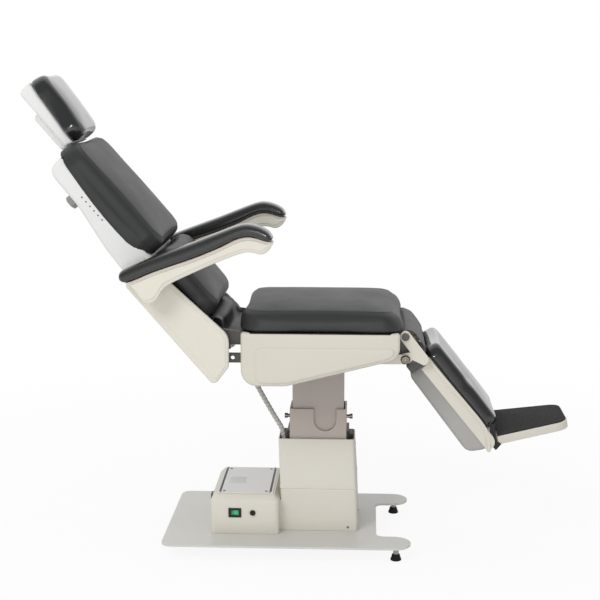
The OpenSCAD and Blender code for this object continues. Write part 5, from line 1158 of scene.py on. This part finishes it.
def headrest():
    """Tray behind the head cushion, the slide's cover, and the lobed lock knob."""
    tray_line = [(27, 694.4), (48.6, 903.9), (11, 901.4), (4.2, 893), (4.2, 700.4)]
    shell = bar_form(BACK, rounded(tray_line, 300, 14), -109.5, 109.5, 9)
    piece("head_tray_moulding", shell, WHITE_TRAY, body="headrest", replaces=("head_shell",))
    cover_line = [(-25.3, 704), (-0.8, 704), (-0.8, 814), (-8.7, 829), (-15.3, 834), (-25.3, 824)]
    cover = bar_form(BACK, rounded(cover_line, 300, 22), -45, 45, 8)
    piece("slide_cover_moulding", cover, WHITE, body="head_slide_bar", replaces=("head_bracket_cover",))
    knob = [(0.1, 0), (15.5, 0), (18.6, 1.0), (20, 3.2), (20, 14.5), (18.8, 17.2), (16, 18.2), (11, 18.4),
            (9.6, 17.2), (0.1, 17.0)]
    centre = BACK.world(-104, 0, 577)
    head = turned(knob, centre, [-v for v in along_x(BACK)], 96, 6, 0.055)
    neck = turned([(0.1, 0), (9, 0), (9, 42), (0.1, 42)], centre, along_x(BACK), 40)
    piece("lock_knob_lobed", joined([head, neck]), GREY_KNOB, body="knob", replaces=("lock_knob",),
          smooth=35)


# Leg rest and foot plate

# Section of the leg pan, as shares of its depth and length
PAN_SHARES = [(0, 1.0), (0, 0.075), (0.12, 0.042), (0.5, 0.014), (1, 0), (1.7, 0), (1.7, 0.011), (1.3, 0.013),
              (1.0, 0.025), (1, 1.0)]


def leg_mouldings():
    """Grey casing behind the leg rest, and the cream pan that carries its cushion."""
    x1, deep, top, low = -8.3, 68.0, -96, -412
    x0, a = x1 - deep, deep / 7
    line = [(x1, top), (x0 + 2 * a, top), (x0 + a, top - 1.4 * a), (x0, low + 3.6 * a), (x0 + a, low + 2 * a),
            (x0 + 4.6 * a, low), (x1, low)]
    casing = bar_form(LEG, rounded(line, 360, 26), -164, 164, 13)
    piece("leg_casing_moulding", casing, GREY_SHELL, body="leg_rest", replaces=("leg_casing",))
    s = np.array(PAN_SHARES)
    pan = rounded(np.stack([12 - 20 * s[:, 0], -420 + 324 * s[:, 1]], -1), 460, 5)
    piece("leg_pan_moulding", bar_form(LEG, pan, -168, 168, 2.2), CREAM_STEEL, body="leg_rest",
          replaces=("leg_pan",), smooth=35)


def leg_flange():
    """Side flange of the pan: a base strip from 27 mm behind the cushion's plane to its front, with a
    curled lower end. On it stand a flat band and a rolled front edge, a groove of 3.6 mm between them."""
    line = [(-26, -106), (11.8, -104), (13.5, -190), (15.5, -280), (16.5, -322), (15, -353), (9, -380),
            (-2.6, -402.6), (-20.5, -426.7), (-28.5, -421.6), (-26, -404), (-26, -300)]
    o = rounded(line, 420, 8)
    inner, outer = 164.6, 167.2
    edge = [(inset(o, i), outer - d) for i, d in edge_round(1.2)]
    rings = [(inset(o, 2.6), inner), (o, inner), *edge[::-1]]
    strip = loft([LEG.world(a[:, 0], y, a[:, 1]) for a, y in rings])
    run = spline([(2.5, -107), (4.5, -195), (6.5, -285), (7.5, -325), (6.5, -350), (1.5, -372),
                  (-11.5, -395), (-27.2, -420.5)], 71)
    front = spline([(-20.3, -425.5), (-3.0, -402.3), (8.5, -379.5), (14.6, -353), (16.1, -322),
                    (15.1, -280), (13.1, -190), (11.4, -106.5)], 60)
    band = np.vstack([run[:-10] - [2.4, 0], [(-24.8, -404), (-25.6, -300), (-25.6, -107)]])[::-1]
    rim = np.vstack([run + [1.2, 0], front])
    raised = [bar_form(LEG, rounded(outline, 300, 0), -y, -165, r)
              for outline, y, r in ((band, 168.8, 0.8), (rim, 169.8, 1.3))]
    piece("leg_pan_flanges", both_sides(joined([mirrored(strip), *raised])), CREAM_STEEL, body="leg_rest",
          smooth=35)


def foot_cheeks():
    """Black cheeks beside the foot plate's bracket, from the cushion's lower end to the bracket's heel."""
    line = [(5, -392), (2, -411), (-9, -411), (-8, -431), (17, -431), (10, -414), (20, -401), (39, -372),
            (26, -362)]
    cheek = bar_form(LEG, rounded(line, 200, 6), -149.6, -147.3, 0.6)
    piece("foot_hinge_cheeks", both_sides(cheek), BLACK, body="leg_rest")


def hinge_webs():
    """Steel webs on the seat frame behind the leg's hinge plates, which close the view between the pins."""
    line = [(228, 604), (264, 604), (268, 640), (262, 658), (228, 658)]
    web = bar_form(COLUMN, rounded(line, 120, 2), -176, -171, 0.8)
    piece("hinge_webs", both_sides(web), DARK_STEEL, body="seat")


# Profiles of the link pins' ends, with each one's place across the chair and number of sides
PIN_ENDS = [([(0.1, 0), (8, 0), (8, 16.2), (0.1, 16.2)], 188, 40),
            ([(7.8, 0), (13.8, 0), (14, 0.3), (14, 1.1), (13.5, 1.5), (0.1, 1.5)], 204.3, 48),
            ([(0.1, 0), (11, 0), (11.6, 0.4), (11.6, 4.2), (10, 5.6), (7.4, 5.6), (6.8, 2.6), (0.1, 2.6)],
             206, 6),
            ([(0.1, 0), (4.4, 0), (4.4, 3.4), (3.6, 4.2), (0.1, 4.2)], 208, 32)]
# A thin black ring between washer and nut: a seal, and painted shade round the nut.
SEAL_SHADE_RING = [(0.1, 0), (12.6, 0), (12.8, 0.2), (12.8, 0.6), (0.1, 0.6)]


def link_bolts():
    """Ends of the link pins: a shank, a washer, a six-sided nut and the stud's end, and a black seal ring, on
    either side. The seal ring's black also stands for the shade round the nut: painted shade."""
    parts, rings = [], []
    for x in (-272, 254):
        for out in (1, -1):
            parts += [turned(profile, COLUMN.world(x, out * y, 597), (0, out, 0), count)
                      for profile, y, count in PIN_ENDS]
            rings.append(turned(SEAL_SHADE_RING, COLUMN.world(x, out * 205.7, 597), (0, out, 0), 40))
    piece("link_pin_seal_shade_rings", joined(rings), BLACK, body="link", smooth=30)
    piece("link_pin_nuts", joined(parts), NUT, body="link", replaces=("link_pins",), smooth=30)


def foot_outline(half_rear, half_front, length, rear, r, gap):
    """Plan of the foot plate: a band round two front circles and two small rear ones, moved in by gap."""
    line = band_round([(length - r, half_front - r, r), (length - r, r - half_front, r),
                       (rear + 4, half_rear - 4, 4), (rear + 4, 4 - half_rear, 4)], 300)
    return inset(line, gap)


def foot_pieces():
    """Foot plate: a shallow tray of plan outlines with a rounded upper edge, and its rubber mat."""
    plate = foot_outline(146, 108, 224, 9, 46, 0)
    top, low = 16.0, -8.0
    levels = [(4.5, top), *[(i, top - d) for i, d in edge_round(4.0)], (0, low + 1), (0.5, low), (2.5, low),
              (3.0, low + 1), (3.0, top - 4), (5, top - 3)]
    piece("foot_plate_moulding", plan_form(FOOT, [(inset(plate, g), z) for g, z in levels]), CREAM_STEEL,
          body="foot_plate_body", replaces=("foot_plate",), smooth=35)
    mat = inset(plate, 3.0)
    levels = [(0, top + 0.1), (0, top + 2.2), (0.4, top + 2.8), (1.2, top + 3.0)]
    piece("foot_mat_rubber", plan_form(FOOT, [(inset(mat, g), z) for g, z in levels]), MAT,
          body="foot_plate_body", replaces=("foot_mat",), smooth=35)


# CAD nodes that stay

NODE_FINISH = [
    (PLATE, "base_plate"), (STUD, "foot_studs"), (COLUMN_COAT, "outer_column inner_column"), (LID, "box_lid"),
    (BLACK, "guide_pads switch_bezel fuse_holder fuse_cap power_inlet key_strip foot_bracket"),
    (ZINC, "guide_bolts cover_screws"), (GREEN, "switch_rocker"),
    (ACTUATOR, "lift_actuator recline_actuator"),
    (DARK_STEEL, "power_supply seat_frame hinge_pins recline_rod back_frame arm_spigots"),
    (WHITE, "hose_clip"), (CHROME, "lift_rod hose_gland head_slide"), (PLY, "seat_board back_boards"),
    (LINK_STEEL, "link_bars"), (CREAM, "rear_cover"), (LEG_STEEL, "leg_frame"),
]


def finish_nodes():
    """Each CAD node that stays takes its finish in every material slot."""
    for finish, names in NODE_FINISH:
        for name in names.split():
            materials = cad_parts[name].data.materials
            materials.clear()
            materials.append(finish)


aim_camera()
cable_hose()
pale_floor()
studio()
upholstery()
flaps()
arms()
back_shells()
seat_covers()
base_pieces()
inlet_shroud()
headrest()
leg_mouldings()
leg_flange()
foot_cheeks()
hinge_webs()
link_bolts()
foot_pieces()
finish_nodes()
